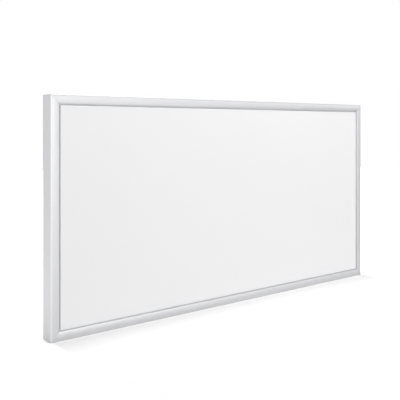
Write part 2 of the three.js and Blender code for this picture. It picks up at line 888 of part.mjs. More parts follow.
// The gland's stations along x, from inside the box to the mouth of its nut
const wallOuter = -boxHalfX;
const wallInner = wallOuter + boxWall + boxDraft;
const threadInner = wallInner + locknutThickness + threadEnd;
const flangeOuter = wallOuter - glandFlange;
const sleeveOuter = flangeOuter - glandSleeveLength;
const nutInner = flangeOuter - seatClearance;
const nutOuter = nutInner - glandNutLength;

function boreAlongX(radius, fromX, toX) {
  const profile = [
    [0, fromX],
    [radius, fromX],
    [radius, toX],
    [0, toX],
  ];
  return turnedAlongX(profile, roundSides, glandDepth, 0);
}

function terminalBox() {
  const shell = loft([
    roundedOutline(boxHalfX, boxHalfZ, boxCornerRadius, backSheetBack),
    roundedOutline(coverHalfX, coverHalfZ, boxCornerRadius - boxDraft, boxBack),
  ]);
  const innerRadius = boxCornerRadius - boxWall;
  const innerX = coverHalfX - boxWall;
  const innerZ = coverHalfZ - boxWall;
  const hollow = slab(innerX, innerZ, innerRadius, boxFloor, boxBack + overrun);
  const bossBack = boxBack - coverRim;
  const bosses = bossPlaces.map((at) => drill(bossRadius, backSheetBack, bossBack, at.x, at.z));
  const bossBoreFrom = boxBack - coverScrewLength - overrun;
  const from = backSheetBack - overrun;
  const to = boxFloor + overrun;
  return cut(
    join(cut(shell, hollow), ...bosses),
    ...bossPlaces.map((at) => drill(bossBore, bossBoreFrom, boxBack + overrun, at.x, at.z)),
    ...boxScrewPlaces.map((at) => drill(screwHole, from, to, at.x, at.z)),
    drill(leadHoleRadius, from, to, leadHoleX, leadHoleZ, roundSides),
    drill(tagRadius + slideClearance, from, to, earthX, earthZ),
    boreAlongX(glandThread + glandRun, wallOuter - overrun, wallInner + overrun),
  );
}

// The cover's rim drops inside the box's walls, and its screws sit in sunk seats.
function terminalCover() {
  const radius = boxCornerRadius - boxDraft;
  const back = boxBack + coverThickness;
  const edge = coverEdgeRound;
  const lid = loft([
    roundedOutline(coverHalfX, coverHalfZ, radius, boxBack),
    roundedOutline(coverHalfX, coverHalfZ, radius, back - edge),
    roundedOutline(coverHalfX - edge, coverHalfZ - edge, radius - edge, back),
  ]);
  const rimX = coverHalfX - boxWall - seatClearance;
  const rimZ = coverHalfZ - boxWall - seatClearance;
  const rimRadius = boxCornerRadius - boxWall - seatClearance;
  const rim = slab(rimX, rimZ, rimRadius, boxBack - coverRim + seatClearance, boxBack);
  const seat = back - coverScrewSink;
  const seatRadius = coverScrewHead + seatClearance;
  const holeRadius = coverScrewShank + seatClearance;
  const from = boxBack - coverRim - overrun;
  const to = back + overrun;
  const seats = bossPlaces.map((at) => drill(seatRadius, seat, to, at.x, at.z));
  const holes = bossPlaces.map((at) => drill(holeRadius, from, to, at.x, at.z));
  return cut(join(lid, rim), ...seats, ...holes);
}

place("terminal_box", terminalBox(), whiteMoulding(), terminals);
place("terminal_cover", terminalCover(), whiteMoulding(), terminals);

bossPlaces.forEach((at, i) => {
  const seat = boxBack + coverThickness - coverScrewSink;
  const sizes = [coverScrewShank, coverScrewHead, coverScrewSink, coverScrewLength];
  const screw = panScrew(...sizes, seat, at.x, at.z);
  place("terminal_cover_screw_" + (i + 1), screw, zincSteel(), terminals);
});

boxScrewPlaces.forEach((at, i) => {
  place("terminal_box_screw_" + (i + 1), sheetScrew(boxFloor, at.x, at.z), zincSteel(), terminals);
});

// Snap bushing that keeps the leads off the edge of the sheet
function leadBushing() {
  const profile = [
    [bushingBore, coreBack - bushingLipLength],
    [leadHoleRadius - seatClearance, coreBack - bushingLipLength],
    [bushingLip, coreBack],
    [leadHoleRadius - seatClearance, coreBack],
    [leadHoleRadius - seatClearance, boxFloor],
    [bushingFlange, boxFloor],
    [bushingFlange, boxFloor + bushingFlangeHeight],
    [bushingBore, boxFloor + bushingFlangeHeight],
    [bushingBore, coreBack - bushingLipLength],
  ];
  return turned(profile, roundSides, leadHoleX, leadHoleZ);
}

place("lead_bushing", leadBushing(), nylon(), terminals);

// Terminal block: one insulated body with a through bore and two clamp screws for each pole
const poleShares = [-1, 0, 1];
const blockBack = boxFloor + blockDepth;
const boreDepth = boxFloor + blockDepth / 2;

function terminalBlock() {
  const halfX = blockLength / 2;
  const body = slab(halfX, blockHeight / 2, blockNeck, boxFloor, blockBack, blockX, 0);
  const tools = [];
  poleShares.forEach((share) => {
    const z = share * blockPitch;
    const ends = [blockX - halfX - overrun, blockX + halfX + overrun];
    const bore = [
      [0, ends[0]],
      [blockBore, ends[0]],
      [blockBore, ends[1]],
      [0, ends[1]],
    ];
    tools.push(turnedAlongX(bore, smallSides, boreDepth, z));
    [-1, 1].forEach((side) => {
      const x = blockX + (side * blockLength) / 4;
      tools.push(drill(blockScrewRadius, blockBack - blockScrewDepth, blockBack + overrun, x, z));
    });
  });
  return cut(body, ...tools);
}

place("terminal_block", terminalBlock(), whiteMoulding(), terminals);

// Cable gland through the box's end wall, for the mains cable
function cableGland() {
  const thread = boreAlongX(glandThread, flangeOuter, threadInner);
  const flange = hexAlongX(glandFlats, flangeOuter, wallOuter, glandDepth, 0);
  const sleeve = boreAlongX(glandSleeve, sleeveOuter, wallOuter);
  return cut(
    join(thread, flange, sleeve),
    boreAlongX(glandThroat, sleeveOuter - overrun, threadInner + overrun),
    boreAlongX(glandSealRadius + glandRun, sleeveOuter - overrun, flangeOuter),
  );
}

// The dome nut closes on the seal: its mouth narrows to the cable's size.
function glandNut() {
  const mouth = cableRadius + glandRun;
  const bore = glandSleeve + glandRun;
  const shell = [
    [0, nutOuter],
    [mouth + glandNutRound, nutOuter],
    [glandFlats / 2 - glandRun, nutOuter + glandNutRound],
    [glandFlats, nutOuter + glandNutLength / 2],
    [glandFlats, nutInner],
    [0, nutInner],
  ];
  const domed = common(
    turnedAlongX(shell, roundSides, glandDepth, 0),
    hexAlongX(glandFlats, nutOuter, nutInner, glandDepth, 0),
  );
  return cut(
    domed,
    boreAlongX(mouth, nutOuter - overrun, nutInner + overrun),
    boreAlongX(bore, nutOuter + glandNutRound, nutInner + overrun),
  );
}

function glandSeal() {
  const from = nutOuter + glandNutRound + seatClearance;
  const to = flangeOuter - seatClearance;
  const ring = boreAlongX(glandSealRadius, from, to);
  return cut(ring, boreAlongX(cableRadius, from - overrun, to + overrun));
}

function glandLocknut() {
  const from = wallInner + seatClearance;
  const to = from + locknutThickness;
  const nut = hexAlongX(locknutFlats, from, to, glandDepth, 0);
  return cut(nut, boreAlongX(glandThread + glandRun, from - overrun, to + overrun));
}

place("cable_gland", cableGland(), greyMoulding(), terminals);
place("gland_nut", glandNut(), greyMoulding(), terminals);
place("gland_seal", glandSeal(), greySilicone(), terminals);
place("gland_locknut", glandLocknut(), greyMoulding(), terminals);

// Earth stud, welded to the back sheet, with a ring tag and a nut
const tagFront = boxFloor;
const tagBack = tagFront + tagThickness;

function earthStud() {
  return turned(
    [
      [0, coreBack - earthFlangeHeight],
      [earthFlange, coreBack - earthFlangeHeight],
      [earthFlange, coreBack],
      [earthShank, coreBack],
      [earthShank, backSheetBack],
      [tagRadius, backSheetBack],
      [tagRadius, tagFront],
      [earthShank, tagFront],
      [earthShank, tagFront + earthLength],
      [0, tagFront + earthLength],
    ],
    roundSides,
    earthX,
    earthZ,
  );
}

function earthTag() {
  const eye = drill(tagRadius, tagFront, tagBack, earthX, earthZ);
  const from = earthX - tagReach;
  const strip = box(from, earthX, tagFront, tagBack, earthZ - tagBarrel, earthZ + tagBarrel);
  const barrelDepth = tagFront + tagBarrel;
  const barrel = [
    [0, from],
    [tagBarrel, from],
    [tagBarrel, from + tagBarrelLength],
    [0, from + tagBarrelLength],
  ];
  return cut(
    join(eye, strip, turnedAlongX(barrel, smallSides, barrelDepth, earthZ)),
    drill(earthShank + seatClearance, tagFront - overrun, tagBack + overrun, earthX, earthZ),
  );
}

function earthNut() {
  const radius = earthNutFlats / Math.sqrt(3);
  const nut = new THREE.CylinderGeometry(radius, radius, earthNutHeight, hexSides);
  nut.translate(earthX, tagBack + earthNutHeight / 2, earthZ);
  const from = tagBack - overrun;
  const to = tagBack + earthNutHeight + overrun;
  return cut(nut, drill(earthShank + seatClearance, from, to, earthX, earthZ));
}

place("earth_stud", earthStud(), zincSteel(), terminals);
place("earth_tag", earthTag(), zincSteel(), terminals);
place("earth_nut", earthNut(), zincSteel(), terminals);

// Thermal cut-out on the foil, in series with the live lead
function thermalCutout() {
  const halfRun = cutoutLength / 2;
  const tabDepth = foilBack + cutoutThickness / 2;
  const tab = box(
    leadX - cutoutTabWidth / 2,
    leadX + cutoutTabWidth / 2,
    tabDepth - cutoutTabThickness / 2,
    tabDepth + cutoutTabThickness / 2,
    cutoutZ - halfRun,
    cutoutZ + halfRun,
  );
  const body = slab(
    cutoutWidth / 2,
    halfRun - cutoutTabLength,
    fieldEdgeRadius,
    foilBack,
    foilBack + cutoutThickness,
    leadX,
    cutoutZ,
  );
  return join(body, tab);
}

place("thermal_cutout", thermalCutout(), greyMoulding());

// Leads inside the casing: straight runs with rounded corners

// The stations along a route whose inner corners are rounded.
function roundedRoute(corners) {
  const stations = [corners[0]];
  corners.slice(1, -1).forEach((corner, i) => {
    const before = corners[i].clone().sub(corner);
    const after = corners[i + 2].clone().sub(corner);
    const reach = Math.min(leadBend, before.length() / 2, after.length() / 2);
    const start = corner.clone().add(before.setLength(reach));
    const end = corner.clone().add(after.setLength(reach));
    stations.push(...new THREE.QuadraticBezierCurve3(start, corner, end).getPoints(bendSteps));
  });
  stations.push(corners[corners.length - 1]);
  return stations;
}

function lead(corners) {
  const stations = roundedRoute(corners.map(([x, y, z]) => new THREE.Vector3(x, y, z)));
  const last = stations.length - 1;
  const directions = stations.map((_, i) =>
    stations[Math.min(i + 1, last)].clone().sub(stations[Math.max(i - 1, 0)]).normalize(),
  );
  const across = new THREE.Vector3(1, 0, 1).cross(directions[0]).normalize();
  const outlines = stations.map((station, i) => {
    if (i > 0) {
      const turn = new THREE.Quaternion().setFromUnitVectors(directions[i - 1], directions[i]);
      across.applyQuaternion(turn);
    }
    const up = across.clone().cross(directions[i]);
    return Array.from({ length: leadSides }, (_, corner) => {
      const angle = (2 * Math.PI * corner) / leadSides;
      return station
        .clone()
        .addScaledVector(across, leadRadius * Math.cos(angle))
        .addScaledVector(up, leadRadius * Math.sin(angle));
    });
  });
  return loft(outlines);
}

const poleX = boxX + blockX + blockLength / 2;
const leadStart = poleX - leadInBlock;
const holeZ = boxZ + leadHoleZ;
const leadOffset = 2 * leadRadius;
const tabLine = foilBack + cutoutThickness / 2;
const cutoutFrom = cutoutZ - cutoutLength / 2 - seatClearance;
const cutoutTo = cutoutZ + cutoutLength / 2 + seatClearance;
const tagEnd = boxX + earthX - tagReach - seatClearance;

const liveRoute = [
  [leadStart, boreDepth, boxZ + blockPitch],
  [poleX + leadBend, boreDepth, boxZ + blockPitch],
  [leadX, boxFloor + leadOffset, holeZ + leadOffset],
  [leadX, leadDepth, holeZ + leadOffset],
  [leadX, leadDepth, cutoutWell.from + leadOffset],
  [leadX, tabLine, cutoutFrom - leadBend],
  [leadX, tabLine, cutoutFrom],
];

const cutoutRoute = [
  [leadX, tabLine, cutoutTo],
  [leadX, tabLine, cutoutTo + leadBend],
  [leadX, leadDepth, cutoutWell.to - leadOffset],
  [leadX, leadDepth, topWell.from + leadOffset],
  [leadX, foilBack + leadBend, busbarZ],
  [leadX, busbarBack + seatClearance, busbarZ],
];

const neutralRoute = [
  [leadStart, boreDepth, boxZ],
  [poleX + leadBend, boreDepth, boxZ],
  [leadX, boxFloor + leadOffset, holeZ - leadOffset],
  [leadX, leadDepth, holeZ - leadOffset],
  [leadX, leadDepth, bottomWell.to - leadOffset],
  [leadX, foilBack + leadBend, -busbarZ],
  [leadX, busbarBack + seatClearance, -busbarZ],
];

const earthRoute = [
  [leadStart, boreDepth, boxZ - blockPitch],
  [poleX + leadStub, boreDepth, boxZ - blockPitch],
  [tagEnd - leadStub, boxFloor + tagBarrel, boxZ + earthZ],
  [tagEnd, boxFloor + tagBarrel, boxZ + earthZ],
];

place("live_lead", lead(liveRoute), brownSheath());
place("cutout_lead", lead(cutoutRoute), brownSheath());
place("neutral_lead", lead(neutralRoute), blueSheath());
place("earth_lead", lead(earthRoute), greenSheath());

export default heater;
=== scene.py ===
# %% [markdown]
# # An electric panel heater, dressed for its picture
#
# The object is a far-infrared panel heater: four mitred lengths of anodised aluminium round a
# flat, matt white plate. A imported model already holds every piece at its real size. This
# lesson loads that model as a fixed frame, gives each piece its finish, and rebuilds the
# pieces that deserve smoother curves, such as the crowned frame rails and the pressed sheets.
#
# We load the frame first and measure it, so that the end of the lesson can print its size
# beside the dressed heater's size.

# %% Load the frame
import math

import bmesh
import bpy
from mathutils import Euler, Matrix, Vector


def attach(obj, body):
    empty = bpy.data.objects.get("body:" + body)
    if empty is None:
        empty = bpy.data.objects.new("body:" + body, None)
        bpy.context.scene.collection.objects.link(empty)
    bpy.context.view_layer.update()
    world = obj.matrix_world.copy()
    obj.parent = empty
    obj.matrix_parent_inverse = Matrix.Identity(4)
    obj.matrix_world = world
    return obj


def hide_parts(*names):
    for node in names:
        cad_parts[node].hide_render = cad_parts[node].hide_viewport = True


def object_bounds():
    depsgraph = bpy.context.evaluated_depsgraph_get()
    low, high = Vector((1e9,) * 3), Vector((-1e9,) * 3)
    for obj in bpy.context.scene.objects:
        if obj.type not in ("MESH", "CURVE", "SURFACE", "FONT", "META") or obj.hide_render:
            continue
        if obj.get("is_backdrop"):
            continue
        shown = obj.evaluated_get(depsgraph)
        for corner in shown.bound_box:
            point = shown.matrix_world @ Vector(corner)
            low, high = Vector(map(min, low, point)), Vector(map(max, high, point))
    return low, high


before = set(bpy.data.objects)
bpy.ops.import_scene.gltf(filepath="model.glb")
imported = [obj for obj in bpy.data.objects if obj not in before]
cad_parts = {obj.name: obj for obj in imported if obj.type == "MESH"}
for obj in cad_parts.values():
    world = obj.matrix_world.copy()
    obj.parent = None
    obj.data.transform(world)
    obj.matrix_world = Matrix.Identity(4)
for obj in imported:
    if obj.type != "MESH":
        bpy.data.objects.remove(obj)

cad_low, cad_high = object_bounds()
CASING = "casing"
CORNERS = ("top_left", "top_right", "bottom_left", "bottom_right")

# %% [markdown]
# ## Sizes
#
# The heater's drawing is in millimetres, and Blender works in metres, so one factor converts
# them. The drawing's depth runs backwards from the crown of the frame, and its other two
# axes start at the panel's centre. One function turns a drawing point into a Blender point,
# and everything we build goes through it.

# %% The drawing's sizes and axes
MM = 0.001
PANEL_LENGTH = 1195
PANEL_HEIGHT = 595
FRAME_DEPTH = 42
FACE_WIDTH = 22.5
FRAME_WALL = 1.4
CROWN_RISE = 1.3
GAP_WIDTH = 3.5
SEAL_FRONT = 5.7
SEAL_THICKNESS = 1
PLATE_SHEET = 0.7
BACK_SHEET = 0.6
CORE_BACK = 21.4
SHEET_BACK = CORE_BACK + BACK_SHEET
SEAT_GAP, SLIDE_GAP, TURNING_GAP = 0.3, 0.5, 0.3
HALF_LENGTH = PANEL_LENGTH / 2
HALF_HEIGHT = PANEL_HEIGHT / 2
QUARTER_TURN = math.pi / 2


def drawn(x, depth, z):
    """A point of the drawing, as a Blender point in metres."""
    return Vector((x, depth - FRAME_DEPTH / 2, z + HALF_HEIGHT)) * MM


print("drawing:", PANEL_LENGTH, "x", FRAME_DEPTH, "x", PANEL_HEIGHT, "mm")

# %% [markdown]
# ## The camera
#
# The photograph was taken from the left, level, and from a little below the height of the
# panel's top edge. The heater's own straight edges give the lens and the standpoint: parallel
# edges must meet at one point of the horizon. The horizon lies above the middle of the
# picture although the camera is level, so the picture is a shifted crop, and we use the
# camera's shift for it instead of tilting the camera, which would make the uprights lean.

# %% Place the camera
CAMERA_PLACE = (-1.3591, -1.4939, 0.5127)
CAMERA_TURN = 39.706
FOCAL_LENGTH = 61.15
SENSOR_WIDTH = 36
HORIZON_SHIFT = -0.1785
NEAREST, FARTHEST = 0.05, 60


def linked(name, data):
    """A new object for this data, in the scene."""
    made = bpy.data.objects.new(name, data)
    bpy.context.scene.collection.objects.link(made)
    return made


camera_data = bpy.data.cameras.new("picture_camera")
camera_data.lens, camera_data.sensor_width = FOCAL_LENGTH, SENSOR_WIDTH
camera_data.shift_y = HORIZON_SHIFT
camera_data.clip_start, camera_data.clip_end = NEAREST, FARTHEST
camera = linked("picture_camera", camera_data)
camera.location = CAMERA_PLACE
camera.rotation_euler = Euler((QUARTER_TURN, 0, math.radians(-CAMERA_TURN)))
bpy.context.scene.camera = camera
print("camera at", CAMERA_PLACE, "turned", CAMERA_TURN, "degrees")

# %% [markdown]
# ## Shader groups
#
# Real finishes are never one flat colour. Four effects come back in several materials:
# faint clouds of tone, the long hairlines that an extrusion die or a rolling mill leaves,
# the fine relief of a coating or a moulding, and painted light along a rail's outer edge: a
# painted highlight on the uprights and painted shade on the long rails. We build each one
# once, as a node group with named inputs, and give it other values in each material. The
# groups put out only values that change over the surface. The shader itself stays in the
# material. A few helpers keep the wiring short: each adds one kind of node and hands back
# what it puts out.

# %% Add a node, and start a group
FLOAT, VECTOR = "NodeSocketFloat", "NodeSocketVector"
GEOMETRY, MATERIAL = "NodeSocketGeometry", "NodeSocketMaterial"


def wire(tree, kind, settings=None, **inputs):
    """Adds a node, sets its properties, and feeds its inputs by name or by number."""
    node = tree.nodes.new(kind)
    for key, value in (settings or {}).items():
        setattr(node, key, value)
    for key, value in inputs.items():
        name = int(key[1:]) if key[0] == "n" and key[1:].isdigit() else key.replace("_", " ")
        socket = node.inputs[name]
        if isinstance(value, bpy.types.NodeSocket):
            tree.links.new(value, socket)
        else:
            socket.default_value = value
    return node


def node_group(name, inputs, outputs, kind="ShaderNodeTree"):
    """A new group, what it is given and what it hands out. Inputs: name to (type, default)."""
    group = bpy.data.node_groups.new(name, kind)
    for label, (socket_type, default) in inputs.items():
        socket = group.interface.new_socket(label, in_out="INPUT", socket_type=socket_type)
        if default is not None:
            socket.default_value = default
    for label in outputs:
        group.interface.new_socket(label, in_out="OUTPUT",
                                   socket_type=GEOMETRY if label == "Geometry" else FLOAT)
    print("node group:", name, "from", list(inputs), "to", outputs)
    given, result = group.nodes.new("NodeGroupInput"), group.nodes.new("NodeGroupOutput")
    return group, given.outputs, result.inputs


# %% Short names for the usual nodes
def maths(tree, operation, *values):
    """The result of a Math node that takes the values in order."""
    numbered = {f"n{i}": value for i, value in enumerate(values)}
    return wire(tree, "ShaderNodeMath", {"operation": operation}, **numbered).outputs[0]


def vectors(tree, operation, *values, **named):
    """The result of a Vector Math node: a vector, or a number where it measures one."""
    numbered = {f"n{i}": value for i, value in enumerate(values)}
    node = wire(tree, "ShaderNodeVectorMath", {"operation": operation}, **numbered, **named)
    return node.outputs["Value" if operation in ("DOT_PRODUCT", "LENGTH") else "Vector"]


def ramp(tree, value, start, end, low=0.0, high=1.0):
    """Low where the value is at the start, high at the end, and level beyond them."""
    return wire(tree, "ShaderNodeMapRange", Value=value, From_Min=start, From_Max=end,
                To_Min=low, To_Max=high).outputs["Result"]


def noise(tree, vector, scale, detail, roughness):
    """The grey value of a noise texture."""
    return wire(tree, "ShaderNodeTexNoise", Vector=vector, Scale=scale, Detail=detail,
                Roughness=roughness).outputs["Fac"]


print("helpers:", [f.__name__ for f in (maths, vectors, ramp, noise)])


# %% Clouds of tone
def make_clouds():
    group, given, result = node_group(
        "clouds_of_tone",
        {"Vector": (VECTOR, None), "Scale": (FLOAT, 8.0), "Amount": (FLOAT, 0.05)}, ["Factor"])
    cloud = noise(group, given["Vector"], given["Scale"], detail=4.0, roughness=0.55)
    centred = maths(group, "SUBTRACT", cloud, 0.5)
    factor = maths(group, "MULTIPLY_ADD", centred, given["Amount"], 1.0)
    group.links.new(factor, result["Factor"])
    return group


CLOUDS = make_clouds()

# %% Hairlines along a rail or a rolled sheet
ETCH_SCALE = 2600.0


def make_hairlines():
    group, given, result = node_group(
        "hairlines",
        {"Vector": (VECTOR, None), "Along": (VECTOR, (1, 0, 0)), "Lines": (FLOAT, 200.0)},
        ["Line", "Etch"])
    along = vectors(group, "DOT_PRODUCT", given["Vector"], given["Along"])
    lengthways = vectors(group, "SCALE", given["Along"], Scale=along)
    across = vectors(group, "SUBTRACT", given["Vector"], lengthways)
    stretched = vectors(group, "SCALE", across, Scale=given["Lines"])
    placed = vectors(group, "ADD", stretched, lengthways)
    line = noise(group, placed, 1.0, detail=5.0, roughness=0.75)
    etch = noise(group, given["Vector"], ETCH_SCALE, detail=2.0, roughness=0.5)
    group.links.new(line, result["Line"])
    group.links.new(etch, result["Etch"])
    return group


HAIRLINES = make_hairlines()


# %% Fine relief of a coating or a moulding
def make_relief():
    group, given, result = node_group(
        "fine_relief",
        {"Vector": (VECTOR, None), "Scale": (FLOAT, 700.0), "Pits": (FLOAT, 0.3)}, ["Height"])
    swell = noise(group, given["Vector"], given["Scale"], detail=2.0, roughness=0.4)
    cells = wire(group, "ShaderNodeTexVoronoi", {"feature": "SMOOTH_F1"},
                 Vector=given["Vector"], Scale=given["Scale"])
    height = maths(group, "MULTIPLY_ADD", cells.outputs["Distance"], given["Pits"], swell)
    group.links.new(height, result["Height"])
    return group


RELIEF = make_relief()


# %% Painted light along a rail's outer edge
def make_painted_arris_light():
    # Painted light: a lighter or darker band along a rail's outer edge, a painted highlight or
    # painted shade by the sign of Gain
    group, given, result = node_group(
        "burnished_edge",
        {"Vector": (VECTOR, None), "Across": (VECTOR, (1, 0, 0)), "Edge": (FLOAT, 0.5),
         "Front": (FLOAT, 0.0), "Reach": (FLOAT, 0.002), "Gain": (FLOAT, 0.2)}, ["Factor"])
    across = vectors(group, "DOT_PRODUCT", given["Vector"], given["Across"])
    outwards = maths(group, "ABSOLUTE", across)
    inner = maths(group, "SUBTRACT", given["Edge"], given["Reach"])
    near_side = ramp(group, outwards, inner, given["Edge"])
    depth = wire(group, "ShaderNodeSeparateXYZ", Vector=given["Vector"]).outputs["Y"]
    deeper = maths(group, "ADD", given["Front"], given["Reach"])
    near_front = ramp(group, depth, deeper, given["Front"])
    both = maths(group, "MULTIPLY", near_side, near_front)
    spread = maths(group, "POWER", both, 0.5)
    factor = maths(group, "MULTIPLY_ADD", spread, given["Gain"], 1.0)
    group.links.new(factor, result["Factor"])
    return group


PAINTED_ARRIS_GROUP = make_painted_arris_light()

# %% [markdown]
# ## Finishes
#
# One recipe makes all the finishes. A paint colour is given as the hex code that a
# picture editor shows, and turned into the linear light that a shader expects. The clouds
# move the colour a little lighter and darker, the relief feeds a bump, and the roughness
# follows the same relief, because a coating is never equally smooth everywhere. Drawn and
# rolled metals have hairlines instead of the relief, which also streak their colour faintly.
# The uprights' outer edges get a painted highlight, and the long rails' edges get painted
# shade. Fixed values, such as the metal share, go straight on the shader.

# %% The recipe for a finish
STREAK = 0.03
GRAIN = (0.3, 0.7)
ROUGHNESS_SHARES = (0.92, 1.08)
BUMP_DEPTH = 0.0002
FINISHES = {}


def linear(code):
    """A hex colour as linear light, by the rule of the sRGB standard."""
    parts = [int(code[i:i + 2], 16) / 255 for i in (0, 2, 4)]
    return [c / 12.92 if c <= 0.04045 else ((c + 0.055) / 1.055) ** 2.4 for c in parts]


def recipe(name, code, roughness, metallic, tone, tone_scale, relief=0.0, relief_scale=700.0,
           pits=0.3, hairlines=None, painted_arris=None):
    """A finish: colour clouds, roughness that varies, and relief or hairlines as bump."""
    material = bpy.data.materials.new(name)
    material.use_nodes = True
    tree = material.node_tree
    shader = tree.nodes["Principled BSDF"].inputs
    shader["Metallic"].default_value = metallic
    place = tree.nodes.new("ShaderNodeTexCoord").outputs["Object"]

    def effect(group, **inputs):
        node = wire(tree, "ShaderNodeGroup", {"node_tree": group}, Vector=place, **inputs)
        return node.outputs

    clouds = effect(CLOUDS, Scale=tone_scale, Amount=tone)
    tint = vectors(tree, "SCALE", linear(code), Scale=clouds["Factor"])
    # Painted light: the rail's outer edge made lighter or darker, a painted highlight or
    # painted shade
    if painted_arris:
        tint = vectors(tree, "SCALE", tint, Scale=effect(PAINTED_ARRIS_GROUP, **painted_arris)["Factor"])
    if hairlines:
        lines = effect(HAIRLINES, Along=hairlines)
        height, grain = lines["Line"], lines["Etch"]
        streaks = ramp(tree, height, *GRAIN, 1 - STREAK, 1 + STREAK)
        tint = vectors(tree, "SCALE", tint, Scale=streaks)
    else:
        height = grain = effect(RELIEF, Scale=relief_scale, Pits=pits)["Height"]
    tree.links.new(tint, shader["Base Color"])
    rough = ramp(tree, grain, *GRAIN, *[roughness * share for share in ROUGHNESS_SHARES])
    tree.links.new(rough, shader["Roughness"])
    if relief > 0:
        bump = wire(tree, "ShaderNodeBump", Height=height, Strength=relief, Distance=BUMP_DEPTH)
        tree.links.new(bump.outputs["Normal"], shader["Normal"])
    FINISHES[name] = material


print("recipe: roughness", ROUGHNESS_SHARES, "times its value, streaks", STREAK)

# %% Mix the finishes
ALONG_X, ALONG_Z = (1, 0, 0), (0, 0, 1)
FRONT_PLANE = -FRAME_DEPTH / 2 * MM
# Painted highlight along the uprights' outer edges, painted shade along the long rails' edges
PAINTED_ARRIS_HIGHLIGHT = {"Across": ALONG_X, "Edge": HALF_LENGTH * MM, "Front": FRONT_PLANE,
                "Reach": 0.0024, "Gain": 0.28}
PAINTED_ARRIS_SHADE = {"Across": ALONG_Z, "Edge": PANEL_HEIGHT * MM, "Front": FRONT_PLANE,
              "Reach": 0.0030, "Gain": -0.25}

# One anodised metal in two copies: the hairlines run along each rail, and the edge carries a
# painted highlight on the uprights and painted shade on the long rails
# Name, colour, roughness, metal share, the clouds' amount and scale, and the rest by name
recipe("anodised_lengths", "cdcdcf", 0.46, 0.80, 0.025, 5.0, relief=0.05,
       hairlines=ALONG_X, painted_arris=PAINTED_ARRIS_SHADE)
recipe("anodised_uprights", "cdcdcf", 0.46, 0.80, 0.025, 5.0, relief=0.05,
       hairlines=ALONG_Z, painted_arris=PAINTED_ARRIS_HIGHLIGHT)
recipe("front_enamel", "e7e7e8", 0.48, 0.0, 0.012, 3.0, relief=0.10, relief_scale=900.0)
recipe("rear_enamel", "e9e9e7", 0.48, 0.0, 0.02, 4.0, relief=0.25, relief_scale=800.0)
recipe("seal_silicone", "dedee0", 0.62, 0.0, 0.08, 30.0, relief=0.12, relief_scale=1200.0)
recipe("zinc_plate", "c3c6c8", 0.33, 0.95, 0.10, 260.0, relief=0.10, relief_scale=1500.0)
recipe("hanger_zinc", "bcc0c3", 0.36, 0.95, 0.09, 140.0, relief=0.06, hairlines=ALONG_Z)
recipe("nylon_natural", "dfdccd", 0.45, 0.0, 0.05, 60.0, relief=0.08, relief_scale=1500.0)
recipe("box_moulding", "e4e4e1", 0.52, 0.0, 0.02, 12.0, 0.35, 2200.0, pits=0.8)
recipe("gland_moulding", "777a7f", 0.46, 0.0, 0.05, 40.0, 0.25, 2200.0, pits=0.6)
recipe("block_moulding", "e0dfd8", 0.40, 0.0, 0.04, 50.0)
recipe("cast_alloy", "9b9d9f", 0.58, 0.85, 0.12, 90.0, 0.5, 1300.0, pits=0.8)
recipe("carbon_film", "2b2b2d", 0.42, 0.0, 0.10, 20.0)
recipe("tinned_copper", "c08050", 0.30, 0.95, 0.08, 60.0, relief=0.05, hairlines=ALONG_X)
recipe("bright_foil", "cfd2d5", 0.22, 0.95, 0.06, 12.0, relief=0.8, relief_scale=60.0)
recipe("pressed_fibre", "d5cda6", 0.92, 0.0, 0.16, 160.0, 1.0, 500.0, pits=0.9)
for sheath, code in (("brown", "6a4026"), ("blue", "2f62b0"), ("earth", "5f9a2c")):
    recipe(sheath + "_sheath", code, 0.42, 0.0, 0.05, 80.0)
print("finishes:", list(FINISHES))

# %% [markdown]
# ## Making a solid from drawn points
#
# Most pieces are made from rows of points: a closed outline in front, another behind it,
# and faces between them, as a boat is planked over its frames. A helper turns such rows
# into a mesh in place. It merges doubled points, lets Blender turn every face outwards,
# and marks as sharp only the edges that turn by more than a set angle, so round edges
# stay smooth. A second helper says which body and which node of the model the piece
# belongs to.

# %% Make a piece, and say what it belongs to
SHARP_TURN = math.radians(32)
MERGE_REACH = 1e-6


def settle(mesh):
    """Merges doubles, turns the faces outwards, and shades all but the sharp edges smooth."""
    work = bmesh.new()
    work.from_mesh(mesh)
    bmesh.ops.remove_doubles(work, verts=work.verts, dist=MERGE_REACH)
    bmesh.ops.dissolve_degenerate(work, edges=work.edges, dist=MERGE_REACH)
    bmesh.ops.recalc_face_normals(work, faces=work.faces)
    work.to_mesh(mesh)
    work.free()
    mesh.shade_smooth()
    mesh.set_sharp_from_angle(angle=SHARP_TURN)


def piece(name, points, faces, finish, place=drawn):
    """A named object from points, which go to their place in the frame."""
    mesh = bpy.data.meshes.new(name)
    mesh.from_pydata([place(*p) for p in points], [], faces)
    settle(mesh)
    mesh.materials.append(FINISHES[finish])
    return linked(name, mesh)


def belongs(made, slot, *nodes, body=CASING):
    """Says which body carries the piece and what it stands for. The slot is not used."""
    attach(made, body)
    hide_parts(*nodes)
    print(f"{made.name}: {len(made.data.vertices)} points, stands for {len(nodes)} nodes")


def finished(made):
    """Turns a piece with modifiers into a plain mesh, in place."""
    bpy.context.view_layer.update()
    evaluated = made.evaluated_get(bpy.context.evaluated_depsgraph_get())
    plain = bpy.data.meshes.new_from_object(evaluated)
    plain.name = made.name
    made.modifiers.clear()
    made.data = plain
    return made


print("an edge is sharp from", round(math.degrees(SHARP_TURN)), "degrees")


# %% Rows of points, and planks over them
def plank(rows, closed=False):
    """Faces over rows of points with equal counts, capped at both ends unless closed."""
    count = len(rows[0])
    faces = []
    for i in range(len(rows) if closed else len(rows) - 1):
        here, there = i * count, (i + 1) % len(rows) * count
        for k in range(count):
            n = (k + 1) % count
            faces.append((here + k, there + k, there + n, here + n))
    if not closed:
        faces.append(tuple(range(count)))
        faces.append(tuple(reversed(range((len(rows) - 1) * count, len(rows) * count))))
    return [p for row in rows for p in row], faces


